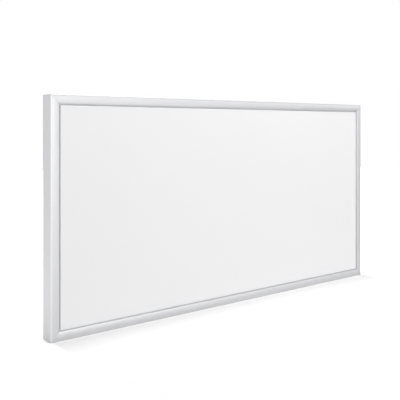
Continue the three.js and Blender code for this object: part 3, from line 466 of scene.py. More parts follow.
def rounded_row(half_x, half_z, radius, depth, x=0.0, z=0.0, steps=8):
    """A rounded rectangle of points at a depth."""
    row = []
    for corner, (sx, sz) in enumerate(((1, 1), (-1, 1), (-1, -1), (1, -1))):
        for step in range(steps + 1):
            turn = QUARTER_TURN * (corner + step / steps)
            row.append((x + sx * (half_x - radius) + radius * math.cos(turn), depth,
                        z + sz * (half_z - radius) + radius * math.sin(turn)))
    return row


def panel_row(inset, depth, radius):
    """The panel's outline, moved inwards."""
    return rounded_row(HALF_LENGTH - inset, HALF_HEIGHT - inset, radius, depth)


def ring(radius, sides):
    """The points of a circle about the origin."""
    turns = [2 * math.pi * k / sides for k in range(sides)]
    return [(radius * math.cos(turn), radius * math.sin(turn)) for turn in turns]


def lathe(profile, sides=48, axis="depth", centre=(0.0, 0.0, 0.0)):
    """Rows for a turned piece: profile is (radius, station) pairs round an axis."""
    rows = []
    for radius, station in profile:
        row = [(a, station, b) if axis == "depth" else (station, a, b)
               for a, b in ring(radius, sides)]
        rows.append([tuple(c + o for c, o in zip(at, centre)) for at in row])
    return rows


print("a rounded rectangle has", len(panel_row(0, 0, 1)), "points")

# %% [markdown]
# ## The frame rails, with Geometry Nodes
#
# The real frame is one aluminium extrusion, sawn into four lengths with mitred ends. Its
# shape therefore follows a rule: draw the section once, push it out along the rail, and
# slant both ends by 45 degrees. That is a perfect task for Geometry Nodes, because the
# four rails then differ only in their length. The section is drawn flat, as edges: one
# loop for the outside and one for the channel that takes the corner keys. The tree pushes
# the edges out by one unit, fills both ends, and then moves every point to its real place:
# a point that lies further from the rail's outer edge gets a shorter run, and that makes
# the mitre.

# %% Draw the section
ARRIS_RADIUS = 0.8
LIP_RADIUS = 0.7
KEY_CHANNEL = 10
LEDGE_REACH = 21
FLANGE_REACH = 8.4
MITRE_GAP = 0.3
CROWN_RADIUS = ((FACE_WIDTH / 2) ** 2 + CROWN_RISE ** 2) / (2 * CROWN_RISE)
KEY_FRONT = SEAL_FRONT + FRAME_WALL
KEY_BACK = CORE_BACK - FRAME_WALL
PARTITION = FRAME_WALL + KEY_CHANNEL + FRAME_WALL
ARRIS_STEPS, CROWN_STEPS, LIP_STEPS, INSIDE_STEPS = 10, 48, 8, 24


def arc(u, v, radius, start, end, steps):
    """Points of an arc in the section."""
    turns = [start + (end - start) * i / steps for i in range(steps + 1)]
    return [(u + radius * math.cos(t), v + radius * math.sin(t)) for t in turns]


def rail_section():
    """The outside loop and the channel loop, as (inwards, depth) points."""
    middle = FACE_WIDTH / 2

    def blend_depth(radius):
        rest = (CROWN_RADIUS - radius) ** 2 - (middle - radius) ** 2
        return CROWN_RADIUS - math.sqrt(rest)

    arris, lip = blend_depth(ARRIS_RADIUS), blend_depth(LIP_RADIUS)
    arris_turn = math.atan2(arris - CROWN_RADIUS, ARRIS_RADIUS - middle)
    lip_turn = math.atan2(lip - CROWN_RADIUS, middle - LIP_RADIUS)
    inner = CROWN_RADIUS - FRAME_WALL
    swing = math.asin((middle - FRAME_WALL) / inner)
    down = -QUARTER_TURN
    outside = [
        (0, FRAME_DEPTH),
        *arc(ARRIS_RADIUS, arris, ARRIS_RADIUS, -math.pi, arris_turn, ARRIS_STEPS),
        *arc(middle, CROWN_RADIUS, CROWN_RADIUS, arris_turn, lip_turn, CROWN_STEPS)[1:-1],
        *arc(FACE_WIDTH - LIP_RADIUS, lip, LIP_RADIUS, lip_turn, 0, LIP_STEPS),
        (FACE_WIDTH, SEAL_FRONT),
        (FACE_WIDTH - FRAME_WALL, SEAL_FRONT),
        *arc(middle, CROWN_RADIUS, inner, down + swing, down - swing, INSIDE_STEPS),
        (FRAME_WALL, SEAL_FRONT),
        (PARTITION, SEAL_FRONT),
        (PARTITION, KEY_BACK),
        (LEDGE_REACH, KEY_BACK),
        (LEDGE_REACH, CORE_BACK),
        (FRAME_WALL, CORE_BACK),
        (FRAME_WALL, FRAME_DEPTH - FRAME_WALL),
        (FLANGE_REACH, FRAME_DEPTH - FRAME_WALL),
        (FLANGE_REACH, FRAME_DEPTH),
    ]
    channel = [
        (FRAME_WALL, KEY_FRONT),
        (FRAME_WALL + KEY_CHANNEL, KEY_FRONT),
        (FRAME_WALL + KEY_CHANNEL, KEY_BACK),
        (FRAME_WALL, KEY_BACK),
    ]
    return outside, channel


outside_loop, channel_loop = rail_section()
print("section:", len(outside_loop), "points outside,", len(channel_loop), "in the channel")


# %% How each tree starts and ends
def geometry_tree(name, **inputs):
    """An empty Geometry Nodes tree with these inputs: label to (type, default)."""
    named = {label.replace("_", " "): socket for label, socket in inputs.items()}
    return node_group(name, {"Geometry": (GEOMETRY, None), **named,
                             "Metal": (MATERIAL, None)}, ["Geometry"], "GeometryNodeTree")


def close_tree(tree, geometry, given, result):
    """Ends a tree: copies become real faces, and all take the finish."""
    solid = wire(tree, "GeometryNodeRealizeInstances", Geometry=geometry)
    coated = wire(tree, "GeometryNodeSetMaterial", Geometry=solid.outputs["Geometry"],
                  Material=given["Metal"])
    tree.links.new(coated.outputs["Geometry"], result["Geometry"])
    return tree


print("each tree ends in Realize Instances and Set Material")

# %% Build the rail's tree
WELD = 0.0005


def rail_tree():
    tree, given, result = geometry_tree("mitred_rail", Length=(FLOAT, 1000.0),
                                        Mitre_Gap=(FLOAT, 0.3), Unit=(FLOAT, MM))
    section = given["Geometry"]
    run_out = wire(tree, "ShaderNodeCombineXYZ", Z=1.0)
    walls = wire(tree, "GeometryNodeExtrudeMesh", {"mode": "EDGES"}, Mesh=section,
                 Offset=run_out.outputs["Vector"], Offset_Scale=1.0)
    loops = wire(tree, "GeometryNodeMeshToCurve", Mesh=section)
    near_end = wire(tree, "GeometryNodeFillCurve", Curve=loops.outputs["Curve"])
    far_end = wire(tree, "GeometryNodeTransform", Geometry=near_end.outputs["Mesh"],
                   Translation=(0, 0, 1))
    whole = tree.nodes.new("GeometryNodeJoinGeometry")
    for part in (walls.outputs["Mesh"], near_end.outputs["Mesh"], far_end.outputs["Geometry"]):
        tree.links.new(part, whole.inputs["Geometry"])
    welded = wire(tree, "GeometryNodeMergeByDistance", Geometry=whole.outputs["Geometry"],
                  Distance=WELD)

    position = tree.nodes.new("GeometryNodeInputPosition").outputs["Position"]
    here = wire(tree, "ShaderNodeSeparateXYZ", Vector=position).outputs
    side = maths(tree, "MULTIPLY_ADD", here["Z"], -2.0, 1.0)  # 1 at one end, -1 at the other
    half = maths(tree, "MULTIPLY", given["Length"], 0.5)
    shorter = maths(tree, "SUBTRACT", half, here["X"])
    shift = maths(tree, "MULTIPLY", given["Mitre Gap"], math.sqrt(0.5))  # half, at 45 degrees
    run = maths(tree, "SUBTRACT", shorter, shift)
    along = maths(tree, "MULTIPLY", run, side)
    real = wire(tree, "ShaderNodeCombineXYZ", X=along, Y=here["Y"], Z=here["X"])
    metres = vectors(tree, "SCALE", real.outputs["Vector"], Scale=given["Unit"])
    moved = wire(tree, "GeometryNodeSetPosition", Geometry=welded.outputs["Geometry"],
                 Position=metres)
    return close_tree(tree, moved.outputs["Geometry"], given, result)


RAIL_TREE = rail_tree()

# %% [markdown]
# Each rail is grown lying on its outer edge along X, and then turned into its side of the
# frame. The turn goes into the mesh, not into the object, so that the finish's hairlines,
# which read the object's coordinates, stay with the metal.


# %% Grow the four rails
def grown(name, mesh, tree, metal, **values):
    """Runs a tree on a mesh and returns the result as a plain object."""
    made = linked(name, mesh)
    modifier = made.modifiers.new(tree.name, "NODES")
    modifier.node_group = tree
    sockets = {s.name: s.identifier for s in tree.interface.items_tree if s.in_out == "INPUT"}
    for label, value in {**values, "Metal": FINISHES[metal]}.items():
        modifier[sockets[label.replace("_", " ")]] = value
    finished(made)
    while made.data.materials[0] is None:
        made.data.materials.pop(index=0)
    return made


def section_mesh():
    mesh = bpy.data.meshes.new("rail_section")
    points, edges = [], []
    for loop in (outside_loop, channel_loop):
        first = len(points)
        points += [(u, v, 0.0) for u, v in loop]
        edges += [(first + i, first + (i + 1) % len(loop)) for i in range(len(loop))]
    mesh.from_pydata(points, edges, [])
    return mesh


RAILS = {
    "bottom": (PANEL_LENGTH, (0, -HALF_HEIGHT), 0, "anodised_lengths"),
    "top": (PANEL_LENGTH, (0, HALF_HEIGHT), 180, "anodised_lengths"),
    "left": (PANEL_HEIGHT, (-HALF_LENGTH, 0), 90, "anodised_uprights"),
    "right": (PANEL_HEIGHT, (HALF_LENGTH, 0), -90, "anodised_uprights"),
}
for side, (length, (x, z), turn, metal) in RAILS.items():
    rail = grown(side + "_rail", section_mesh(), RAIL_TREE, metal, Length=float(length),
                 Mitre_Gap=MITRE_GAP, Unit=MM)
    stand = Matrix.Translation(drawn(x, 0, z)) @ Matrix.Rotation(math.radians(turn), 4, "Y")
    rail.data.transform(stand)
    settle(rail.data)
    belongs(rail, "frame_anodised", "frame_rail_" + side)

# %% [markdown]
# ## The heating plate and the seal in the gap
#
# The front plate is a shallow tray of pressed steel: a flat field, a tight round edge, a
# wall down to the floor of the gap, and a rim that hides under the frame's lip. We plank
# it from rows, with more rows round the pressed edge, where the light turns. A first row
# a few millimetres inside the edge keeps the big flat face truly flat in its shading. The
# pale silicone strip on the floor of the gap has a softly rounded inner edge. It is pale
# itself, and the gap's own shade makes the fine grey line round the plate.

# %% Press the plate
FIELD_FRONT = 1.7
FIELD_BACK = FIELD_FRONT + PLATE_SHEET
FIELD_INSET = FACE_WIDTH + GAP_WIDTH
FIELD_EDGE = 1.0
FIELD_CORNER = 3.0
FIELD_MARGIN = 4.0
EDGE_STEPS = 8
RIM_FRONT = SEAL_FRONT + SEAL_THICKNESS
RIM_BACK = RIM_FRONT + PLATE_SHEET
RIM_INSET = PARTITION + SLIDE_GAP
RIM_CORNER = 2.0


def pressed_plate():
    rows = [panel_row(FIELD_INSET + FIELD_MARGIN, FIELD_FRONT, FIELD_CORNER)]
    for step in range(EDGE_STEPS + 1):
        turn = QUARTER_TURN * step / EDGE_STEPS
        inset = FIELD_INSET + FIELD_EDGE * (1 - math.sin(turn))
        depth = FIELD_FRONT + FIELD_EDGE * (1 - math.cos(turn))
        rows.append(panel_row(inset, depth, FIELD_CORNER + FIELD_INSET - inset))
    inner = FIELD_INSET + PLATE_SHEET
    rows += [
        panel_row(FIELD_INSET, RIM_FRONT, FIELD_CORNER),
        panel_row(RIM_INSET, RIM_FRONT, RIM_CORNER),
        panel_row(RIM_INSET, RIM_BACK, RIM_CORNER),
        panel_row(inner, RIM_BACK, FIELD_CORNER - PLATE_SHEET),
        panel_row(inner, FIELD_BACK + PLATE_SHEET, FIELD_CORNER - PLATE_SHEET),
        panel_row(FIELD_INSET + FIELD_EDGE, FIELD_BACK, FIELD_CORNER - FIELD_EDGE),
        panel_row(FIELD_INSET + FIELD_MARGIN, FIELD_BACK, FIELD_CORNER - FIELD_EDGE),
    ]
    return plank(rows)


belongs(piece("heating_plate", *pressed_plate(), "front_enamel"), "front_enamel",
        "front_plate")

# %% Lay the seal
SEAL_SOFT = 0.3
ROUND_SHARE = 0.3  # how far a round's middle lies from its sides, as a share of its radius
SEAL_OUTER = RIM_INSET + SLIDE_GAP
SEAL_INNER = FIELD_INSET - SEAT_GAP


def seal_strip():
    cut = ROUND_SHARE * SEAL_SOFT
    profile = [(SEAL_INNER, SEAL_FRONT + SEAL_SOFT), (SEAL_INNER - cut, SEAL_FRONT + cut),
               (SEAL_INNER - SEAL_SOFT, SEAL_FRONT), (SEAL_OUTER, SEAL_FRONT),
               (SEAL_OUTER, RIM_FRONT), (SEAL_INNER, RIM_FRONT)]
    rows = [panel_row(inset, depth, FIELD_CORNER + SEAT_GAP) for inset, depth in profile]
    return plank(rows, closed=True)


belongs(piece("gap_seal", *seal_strip(), "seal_silicone"), "seal_silicone", "plate_seal")

# %% [markdown]
# ## The back sheet
#
# Behind, a thin enamelled sheet closes the heater. Three pressed beads keep it stiff. A
# sheet is best drawn as its middle surface: the outline and all holes are filled as one
# flat face, each bead is planked from rows that rise in a soft S, and a Solidify modifier
# gives the whole its real thickness.

# %% Mark the sheet's holes
SCREW_INSET = (PARTITION + LEDGE_REACH) / 2
SCREW_HOLE = 2.05
PIVOT_HOLE = STUD_HOLE = 2.3
LEAD_HOLE = 6.0
LONG_SHARES = (-0.42, 0, 0.42)
SHORT_SHARES = (-0.3, 0.3)
HANGER_PIVOTS = {
    "top_left": (-492.5, 177.5),
    "top_right": (492.5, 177.5),
    "bottom_left": (-492.5, -207.5),
    "bottom_right": (492.5, -207.5),
}
BOX_X, BOX_Z = 400.0, -205.0
BOX_SCREWS = ((-30, 19), (38, -19))
LEADS_AT = (24, 9)
STUD_AT = (28, -13)


def from_box(places):
    """Places that are drawn about the terminal box's centre."""
    return [(BOX_X + x, BOX_Z + z) for x, z in places]


def rear_screw_places():
    across, up = HALF_LENGTH - SCREW_INSET, HALF_HEIGHT - SCREW_INSET
    long_sides = [(s * PANEL_LENGTH, z) for z in (-up, up) for s in LONG_SHARES]
    short_sides = [(x, s * PANEL_HEIGHT) for x in (-across, across) for s in SHORT_SHARES]
    return long_sides + short_sides


HOLES = (
    (rear_screw_places(), SCREW_HOLE),
    (HANGER_PIVOTS.values(), PIVOT_HOLE),
    (from_box(BOX_SCREWS), SCREW_HOLE),
    (from_box([LEADS_AT]), LEAD_HOLE),
    (from_box([STUD_AT]), STUD_HOLE),
)
print("holes in the sheet:", sum(len(places) for places, radius in HOLES))

# %% Draw the beads
SHEET_MIDDLE = CORE_BACK + BACK_SHEET / 2
BEAD_LENGTH = 620
BEAD_WIDTH = 12
BEAD_HEIGHT = 1.6
BEAD_SLOPE = 2.6
BEAD_PLACES = (-96, 0, 96)
BEAD_STEPS, BEAD_END_STEPS = 8, 10


def bead_rows(z):
    """Rows over one bead, from its foot to its crest, as a soft S."""
    rows = []
    for step in range(BEAD_STEPS + 1):
        share = step / BEAD_STEPS
        inset = BEAD_SLOPE * share
        depth = SHEET_MIDDLE + BEAD_HEIGHT * (1 - math.cos(math.pi * share)) / 2
        half = BEAD_WIDTH / 2 - inset
        rows.append(rounded_row(BEAD_LENGTH / 2 - inset, half, half, depth, z=z,
                                steps=BEAD_END_STEPS))
    return rows


beads = [bead_rows(z) for z in BEAD_PLACES]
print("beads:", len(beads), "of", BEAD_LENGTH, "x", BEAD_WIDTH, "mm")


# %% Fill a flat face, and give a sheet its thickness
def flat_face(loops, place=drawn):
    """A flat face inside the first loop and outside the others, as a bmesh."""
    work = bmesh.new()
    edges = []
    for loop in loops:
        corners = [work.verts.new(place(*p)) for p in loop]
        edges += [work.edges.new((a, b)) for a, b in zip(corners, corners[1:] + corners[:1])]
    bmesh.ops.triangle_fill(work, use_beauty=True, edges=edges, normal=(0, 1, 0))
    return work


def sheet_mesh(work, name, finish):
    """A bmesh of a middle surface, written out with all its faces turned one way."""
    bmesh.ops.recalc_face_normals(work, faces=work.faces)
    mesh = bpy.data.meshes.new(name)
    work.to_mesh(mesh)
    work.free()
    mesh.materials.append(FINISHES[finish])
    return mesh


def thickened(name, mesh, sheet, even=False):
    """An object that gives the middle surface its thickness, half to each side."""
    made = linked(name, mesh)
    solid = made.modifiers.new("thickness", "SOLIDIFY")
    solid.thickness, solid.offset, solid.use_even_offset = sheet * MM, 0.0, even
    return made


print("the sheet's middle lies at depth", round(SHEET_MIDDLE, 2), "mm")

# %% Press the sheet
BACK_INSET = FRAME_WALL + SLIDE_GAP
BACK_CORNER = 1.5
HOLE_SIDES = 24


def rear_sheet():
    holes = [[(x + a, SHEET_MIDDLE, z + b) for a, b in ring(radius, HOLE_SIDES)]
             for places, radius in HOLES for x, z in places]
    work = flat_face([panel_row(BACK_INSET, SHEET_MIDDLE, BACK_CORNER),
                      *[rows[0] for rows in beads], *holes])
    for rows in beads:
        points, faces = plank(rows)
        corners = [work.verts.new(drawn(*p)) for p in points]
        for face in faces[:-2] + faces[-1:]:  # all but the foot, where the bead is open
            work.faces.new([corners[i] for i in face])
    bmesh.ops.remove_doubles(work, verts=work.verts, dist=MERGE_REACH)
    mesh = sheet_mesh(work, "rear_sheet", "rear_enamel")
    made = finished(thickened("rear_sheet", mesh, BACK_SHEET))
    settle(made.data)
    return made


belongs(rear_sheet(), "back_enamel", "back_sheet")

# %% [markdown]
# ## Screws, rivets and spacers, with Geometry Nodes
#
# Ten screws hold the back sheet, two more hold the terminal cover, and each hanger turns
# on a rivet over a nylon spacer. Every kind is modelled once. A tree then puts a copy on
# each marked point and, for the screws, turns each copy by a different angle, as a
# screwdriver leaves them. The angle comes from a seeded random value, so it is the same
# every time. The tree ends by making the copies real, because an export needs real faces.


# %% The tree that sets fasteners
def fastener_tree():
    tree, given, result = geometry_tree(
        "set_fasteners", Fastener=("NodeSocketObject", None), Turn=(FLOAT, 0.0),
        Seed=("NodeSocketInt", 7))
    one = wire(tree, "GeometryNodeObjectInfo", Object=given["Fastener"])
    turn = wire(tree, "FunctionNodeRandomValue", {"data_type": "FLOAT"},  # from 0 to Turn
                n2=0.0, n3=given["Turn"], Seed=given["Seed"])
    spin = wire(tree, "ShaderNodeCombineXYZ", Y=turn.outputs[1])
    copies = wire(tree, "GeometryNodeInstanceOnPoints", Points=given["Geometry"],
                  Instance=one.outputs["Geometry"], Rotation=spin.outputs["Vector"])
    return close_tree(tree, copies.outputs["Instances"], given, result)


FASTENER_TREE = fastener_tree()


def set_fasteners(name, model, places, finish, turn=0.0, seed=1):
    """Copies of the model on these places, as one plain object. The model is used up."""
    mesh = bpy.data.meshes.new(name)
    mesh.from_pydata([drawn(*p) for p in places], [], [])
    made = grown(name, mesh, FASTENER_TREE, finish, Fastener=model, Turn=turn, Seed=seed)
    bpy.data.objects.remove(model)
    settle(made.data)
    return made


# %% [markdown]
# A screw's cross recess is cut with a Boolean modifier: two tapered wedges, crossed, leave
# the slot that a driver bites into. The head is a smooth dome over a short straight side.
# The screw's sizes are its radii and lengths, and its point and recess are shares of them.

# %% Domes and wedges
POLE = 0.02  # a turned piece's ends close round this small radius
WEDGE_FACES = ((0, 1, 2, 3), (7, 6, 5, 4), (0, 4, 5, 1), (1, 5, 6, 2), (2, 6, 7, 3),
               (3, 7, 4, 0))


def about_origin(*point):
    return Vector(point) * MM


def dome(radius, base, rise, steps=8):
    """The profile of a dome, up to just below its top."""
    turns = [QUARTER_TURN * i / steps for i in range(steps)]
    return [(radius * math.cos(t), base + rise * math.sin(t)) for t in turns]


def crossed_wedges(*levels):
    """Two crossed wedges between two levels, each a (level, reach, half width)."""
    points, faces = [], []
    for crossed in (False, True):
        faces += [tuple(len(points) + i for i in face) for face in WEDGE_FACES]
        for level, reach, half in levels:
            for a, b in ((reach, half), (-reach, half), (-reach, -half), (reach, -half)):
                points.append((b, level, a) if crossed else (a, level, b))
    return points, faces


print("a wedge has", len(WEDGE_FACES), "faces")

# %% Model a screw with a cross recess
SCREW_SIDES = 32
HEAD_SIDE = 0.35
TIP_RADIUS, TIP_ROUND, TIP_LENGTH = 0.25, 0.2, 1.2
RECESS_WIDTH, RECESS_DEPTH = 0.32, 0.75
RECESS_TAPER = (0.45, 0.6)
DRIVER_ABOVE = 0.2


def screw_model(name, finish, shank, head, height, length, recess):
    profile = [(POLE, -length), (TIP_RADIUS * shank, -length + TIP_ROUND * shank),
               (shank, -length + TIP_LENGTH * shank), (shank, 0), (head, 0),
               *dome(head, HEAD_SIDE * height, (1 - HEAD_SIDE) * height), (POLE, height)]
    screw = piece(name, *plank(lathe(profile, SCREW_SIDES)), finish, about_origin)
    width = recess * RECESS_WIDTH
    wedges = crossed_wedges(
        (height + DRIVER_ABOVE, recess, width),
        (height * (1 - RECESS_DEPTH), RECESS_TAPER[0] * recess, RECESS_TAPER[1] * width))
    driver = piece(name + "_driver", *wedges, finish, about_origin)
    cut = screw.modifiers.new("recess", "BOOLEAN")
    cut.operation, cut.solver, cut.object = "DIFFERENCE", "EXACT", driver
    cut.use_self = True
    finished(screw)
    bpy.data.objects.remove(driver)
    print(name + ":", len(screw.data.polygons), "faces")
    return screw


# %% Set the screws
BOX_BACK = 39.0
COVER_SHEET, SCREW_SINK = 1.8, 1.0
COVER_SCREW_SEAT = BOX_BACK + COVER_SHEET - SCREW_SINK
COVER_SCREWS = ((-40, -21), (40, 21))
SCREWS = {
    "rear": (dict(shank=1.75, head=3.4, height=2.2, length=8.0, recess=1.9),
             rear_screw_places(), SHEET_BACK, 3, "back_sheet_screw_"),
    "cover": (dict(shank=1.3, head=2.8, height=1.0, length=8.0, recess=1.6),
              from_box(COVER_SCREWS), COVER_SCREW_SEAT, 11, "terminal_cover_screw_"),
}
for kind, (sizes, places, seat, seed, node) in SCREWS.items():
    made = set_fasteners(kind + "_screws", screw_model(kind + "_screw", "zinc_plate", **sizes),
                         [(x, seat, z) for x, z in places], "zinc_plate", math.pi, seed)
    belongs(made, "fastener_zinc", *[node + str(n + 1) for n in range(len(places))])

# %% Model the rivets and the spacers
WASHER_SHEET, HANGER_SHEET = 1.0, 1.5
WASHER_BACK = SHEET_BACK + WASHER_SHEET
FOOT_FRONT = WASHER_BACK + TURNING_GAP
RIVET_SEAT = FOOT_FRONT + HANGER_SHEET + TURNING_GAP
RIVET_SHANK, RIVET_SHOULDER = 2.0, 3.0
RIVET_HEAD, RIVET_HEIGHT, RIVET_SIDE = 5.0, 2.0, 0.5
INNER_HEAD, INNER_HEIGHT = 4.0, 1.2
WASHER_RADIUS, PIVOT_BORE = 8.0, 3.3
TURNED_EDGE = 0.2


def rivet_model():
    front = CORE_BACK - INNER_HEIGHT
    profile = [(POLE, front), (INNER_HEAD - TURNED_EDGE, front),
               (INNER_HEAD, front + TURNED_EDGE), (INNER_HEAD, CORE_BACK),
               (RIVET_SHANK, CORE_BACK), (RIVET_SHANK, SHEET_BACK),
               (RIVET_SHOULDER, SHEET_BACK), (RIVET_SHOULDER, RIVET_SEAT),
               (RIVET_HEAD, RIVET_SEAT),
               *dome(RIVET_HEAD, RIVET_SEAT + RIVET_SIDE, RIVET_HEIGHT - RIVET_SIDE,
                     steps=10),
               (POLE, RIVET_SEAT + RIVET_HEIGHT)]
    return piece("rivet", *plank(lathe(profile)), "zinc_plate", about_origin)


def spacer_model():
    soft = TURNED_EDGE
    profile = [(PIVOT_BORE, SHEET_BACK), (WASHER_RADIUS, SHEET_BACK),
               (WASHER_RADIUS, WASHER_BACK - soft), (WASHER_RADIUS - soft, WASHER_BACK),
               (PIVOT_BORE + soft, WASHER_BACK), (PIVOT_BORE, WASHER_BACK - soft)]
    return piece("spacer", *plank(lathe(profile), closed=True), "nylon_natural", about_origin)


pivot_points = [(x, 0.0, z) for x, z in HANGER_PIVOTS.values()]
rivets = set_fasteners("hanger_rivets", rivet_model(), pivot_points, "zinc_plate")
belongs(rivets, "fastener_zinc", *["hanger_pivot_" + c for c in CORNERS])
spacers = set_fasteners("hanger_spacers", spacer_model(), pivot_points, "nylon_natural")
belongs(spacers, "nylon", *["hanger_washer_" + c for c in CORNERS])

# %% [markdown]
# ## The keyhole hangers
#
# Each hanger is a stamped and folded strip. We make it as the workshop does: cut the flat
# blank with its pivot hole and keyhole, mark the two bend lines, fold it, and only then
# give it thickness. Folding is a rule: a point's distance along the blank says whether it
# lies on the foot, on a bend, on the riser or on the tab. The blank is cut across at
# several lines in each bend, so that the bend comes out round. A Solidify modifier adds
# the sheet's thickness, and a fine Bevel breaks the stamped edges.

# %% Lay out the bends
HANGER_STEP = 17.0
BEND_RADIUS = 1.75
TAB_FRONT = 37.0
FOOT_MIDDLE = FOOT_FRONT + HANGER_SHEET / 2
TAB_MIDDLE = TAB_FRONT + HANGER_SHEET / 2
RISER_MIDDLE = HANGER_STEP + HANGER_SHEET / 2
BEND_RUN = BEND_RADIUS * QUARTER_TURN
FIRST_BEND = RISER_MIDDLE - BEND_RADIUS
RISER_RUN = TAB_MIDDLE - FOOT_MIDDLE - 2 * BEND_RADIUS
SECOND_BEND = FIRST_BEND + BEND_RUN + RISER_RUN
TAB_START = SECOND_BEND + BEND_RUN
TAB_SHIFT = TAB_START - (RISER_MIDDLE + BEND_RADIUS)
BEND_CUTS = 6


def fold(x, along):
    """Where a point of the flat blank lies after folding, as (x, depth, z)."""
    if along <= FIRST_BEND:
        return x, FOOT_MIDDLE, along
    if along <= FIRST_BEND + BEND_RUN:
        turn = (along - FIRST_BEND) / BEND_RADIUS
        return (x, FOOT_MIDDLE + BEND_RADIUS * (1 - math.cos(turn)),
                FIRST_BEND + BEND_RADIUS * math.sin(turn))
    if along <= SECOND_BEND:
        return x, FOOT_MIDDLE + BEND_RADIUS + along - FIRST_BEND - BEND_RUN, RISER_MIDDLE
    if along <= TAB_START:
        turn = (along - SECOND_BEND) / BEND_RADIUS
        return (x, TAB_MIDDLE - BEND_RADIUS * (1 - math.sin(turn)),
                RISER_MIDDLE + BEND_RADIUS * (1 - math.cos(turn)))
    return x, TAB_MIDDLE, along - TAB_SHIFT


print("bends start", round(FIRST_BEND, 2), "and", round(SECOND_BEND, 2), "mm from the pivot")

# %% Cut the blank
HANGER_WIDTH = 22.0
HANGER_REACH = 58.0
HANGER_CORNER = 5.0
KEYHOLE_AT, KEYHOLE_RADIUS = 32.0, 5.2
SLOT_RADIUS, SLOT_TO = 2.6, 46.0
BLANK_STEPS, CORNER_STEPS, SLOT_STEPS = 32, 10, 14


def blank_loops():
    """The blank's outline, its pivot hole and its keyhole, as (x, along) loops."""
    half, corner, up = HANGER_WIDTH / 2, HANGER_CORNER, QUARTER_TURN
    end = HANGER_REACH + TAB_SHIFT
    outline = arc(0, 0, half, math.pi, 2 * math.pi, BLANK_STEPS)
    outline += arc(half - corner, end - corner, corner, 0, up, CORNER_STEPS)
    outline += arc(corner - half, end - corner, corner, up, math.pi, CORNER_STEPS)
    meet = math.asin(SLOT_RADIUS / KEYHOLE_RADIUS)
    keyhole = arc(0, KEYHOLE_AT + TAB_SHIFT, KEYHOLE_RADIUS, up + meet, 5 * up - meet,
                  BLANK_STEPS)
    keyhole += arc(0, SLOT_TO - SLOT_RADIUS + TAB_SHIFT, SLOT_RADIUS, 0, math.pi, SLOT_STEPS)
    return outline, arc(0, 0, PIVOT_BORE, 0, 2 * math.pi, BLANK_STEPS)[:-1], keyhole


print("blank:", HANGER_WIDTH, "x", round(HANGER_WIDTH / 2 + HANGER_REACH + TAB_SHIFT, 1), "mm")

# %% Fold the hangers
STAMPED_EDGE = 0.15
STAMPED_TURN = math.radians(50)


def rounding(made, name, width, segments, turn, limit="ANGLE"):
    """A Bevel modifier on all edges that turn enough, or on those with a weight."""
    edge = made.modifiers.new(name, "BEVEL")
    edge.width, edge.segments, edge.limit_method = width * MM, segments, limit
    edge.angle_limit = turn
    edge.use_clamp_overlap = limit == "ANGLE"


def hanger(name, x, z):
    work = flat_face(blank_loops(), lambda across, along: (across, 0, along))
    for start in (FIRST_BEND, SECOND_BEND):
        for cut in range(BEND_CUTS + 1):
            at = start + BEND_RUN * cut / BEND_CUTS
            bmesh.ops.bisect_plane(work, geom=work.verts[:] + work.edges[:] + work.faces[:],
                                   plane_co=(0, 0, at), plane_no=(0, 0, 1), dist=MERGE_REACH)
    for corner in work.verts:
        corner.co = Vector(fold(corner.co.x, corner.co.z)) * MM
    mesh = sheet_mesh(work, name, "hanger_zinc")
    mesh.transform(Matrix.Translation(drawn(x, 0, z)))
    made = thickened(name, mesh, HANGER_SHEET, even=True)
    rounding(made, "stamped_edge", STAMPED_EDGE, 2, STAMPED_TURN)
    finished(made)
    settle(made.data)
    return made


for corner, (x, z) in HANGER_PIVOTS.items():
    belongs(hanger("hanging_bracket_" + corner, x, z), "hanger_steel", "hanger_" + corner,
            body="hanger_arm_" + corner)

# %% [markdown]
# ## The terminal box and its cable gland
#
# The box and its cover are mouldings whose shapes are already right in the model. We copy
# them, merge the copy's loose triangles into clean faces, and break the edges with a small
# Bevel, because no mould leaves a knife edge. Where the cover meets the box both rims are
# rounded more, by an edge weight that only they carry, so that the parting line shows. The
# dome nut of the gland is made by a rule: at each angle its radius is the smaller of the
# turned profile's radius and the distance to the flat of a hexagon. That gives the curved
# scallops where flats meet a dome.

# %% Find the parting line
MOULDED_EDGE = 0.25
PARTING_EDGE = 0.5
MOULDED_SEGMENTS = 3
EDGE_TURN = math.radians(40)
FLAT_TURN = math.radians(1)
BOX_RIM = (47.2, 28.2)
RIM_REACH = 1.8
RIM_SLACK = 0.05


def on_parting_line(edge):
    """Whether an edge runs round the outside where the box meets its cover."""
    for corner in edge.verts:
        x, depth, z = corner.co / MM + Vector((0, FRAME_DEPTH / 2, -HALF_HEIGHT))
        inside = min(BOX_RIM[0] - abs(x - BOX_X), BOX_RIM[1] - abs(z - BOX_Z))
        if abs(depth - BOX_BACK) > RIM_SLACK or inside > RIM_REACH:
            return False
    return edge.calc_face_angle(0) > EDGE_TURN


print("rim of the box:", BOX_RIM[0] * 2, "x", BOX_RIM[1] * 2, "mm")


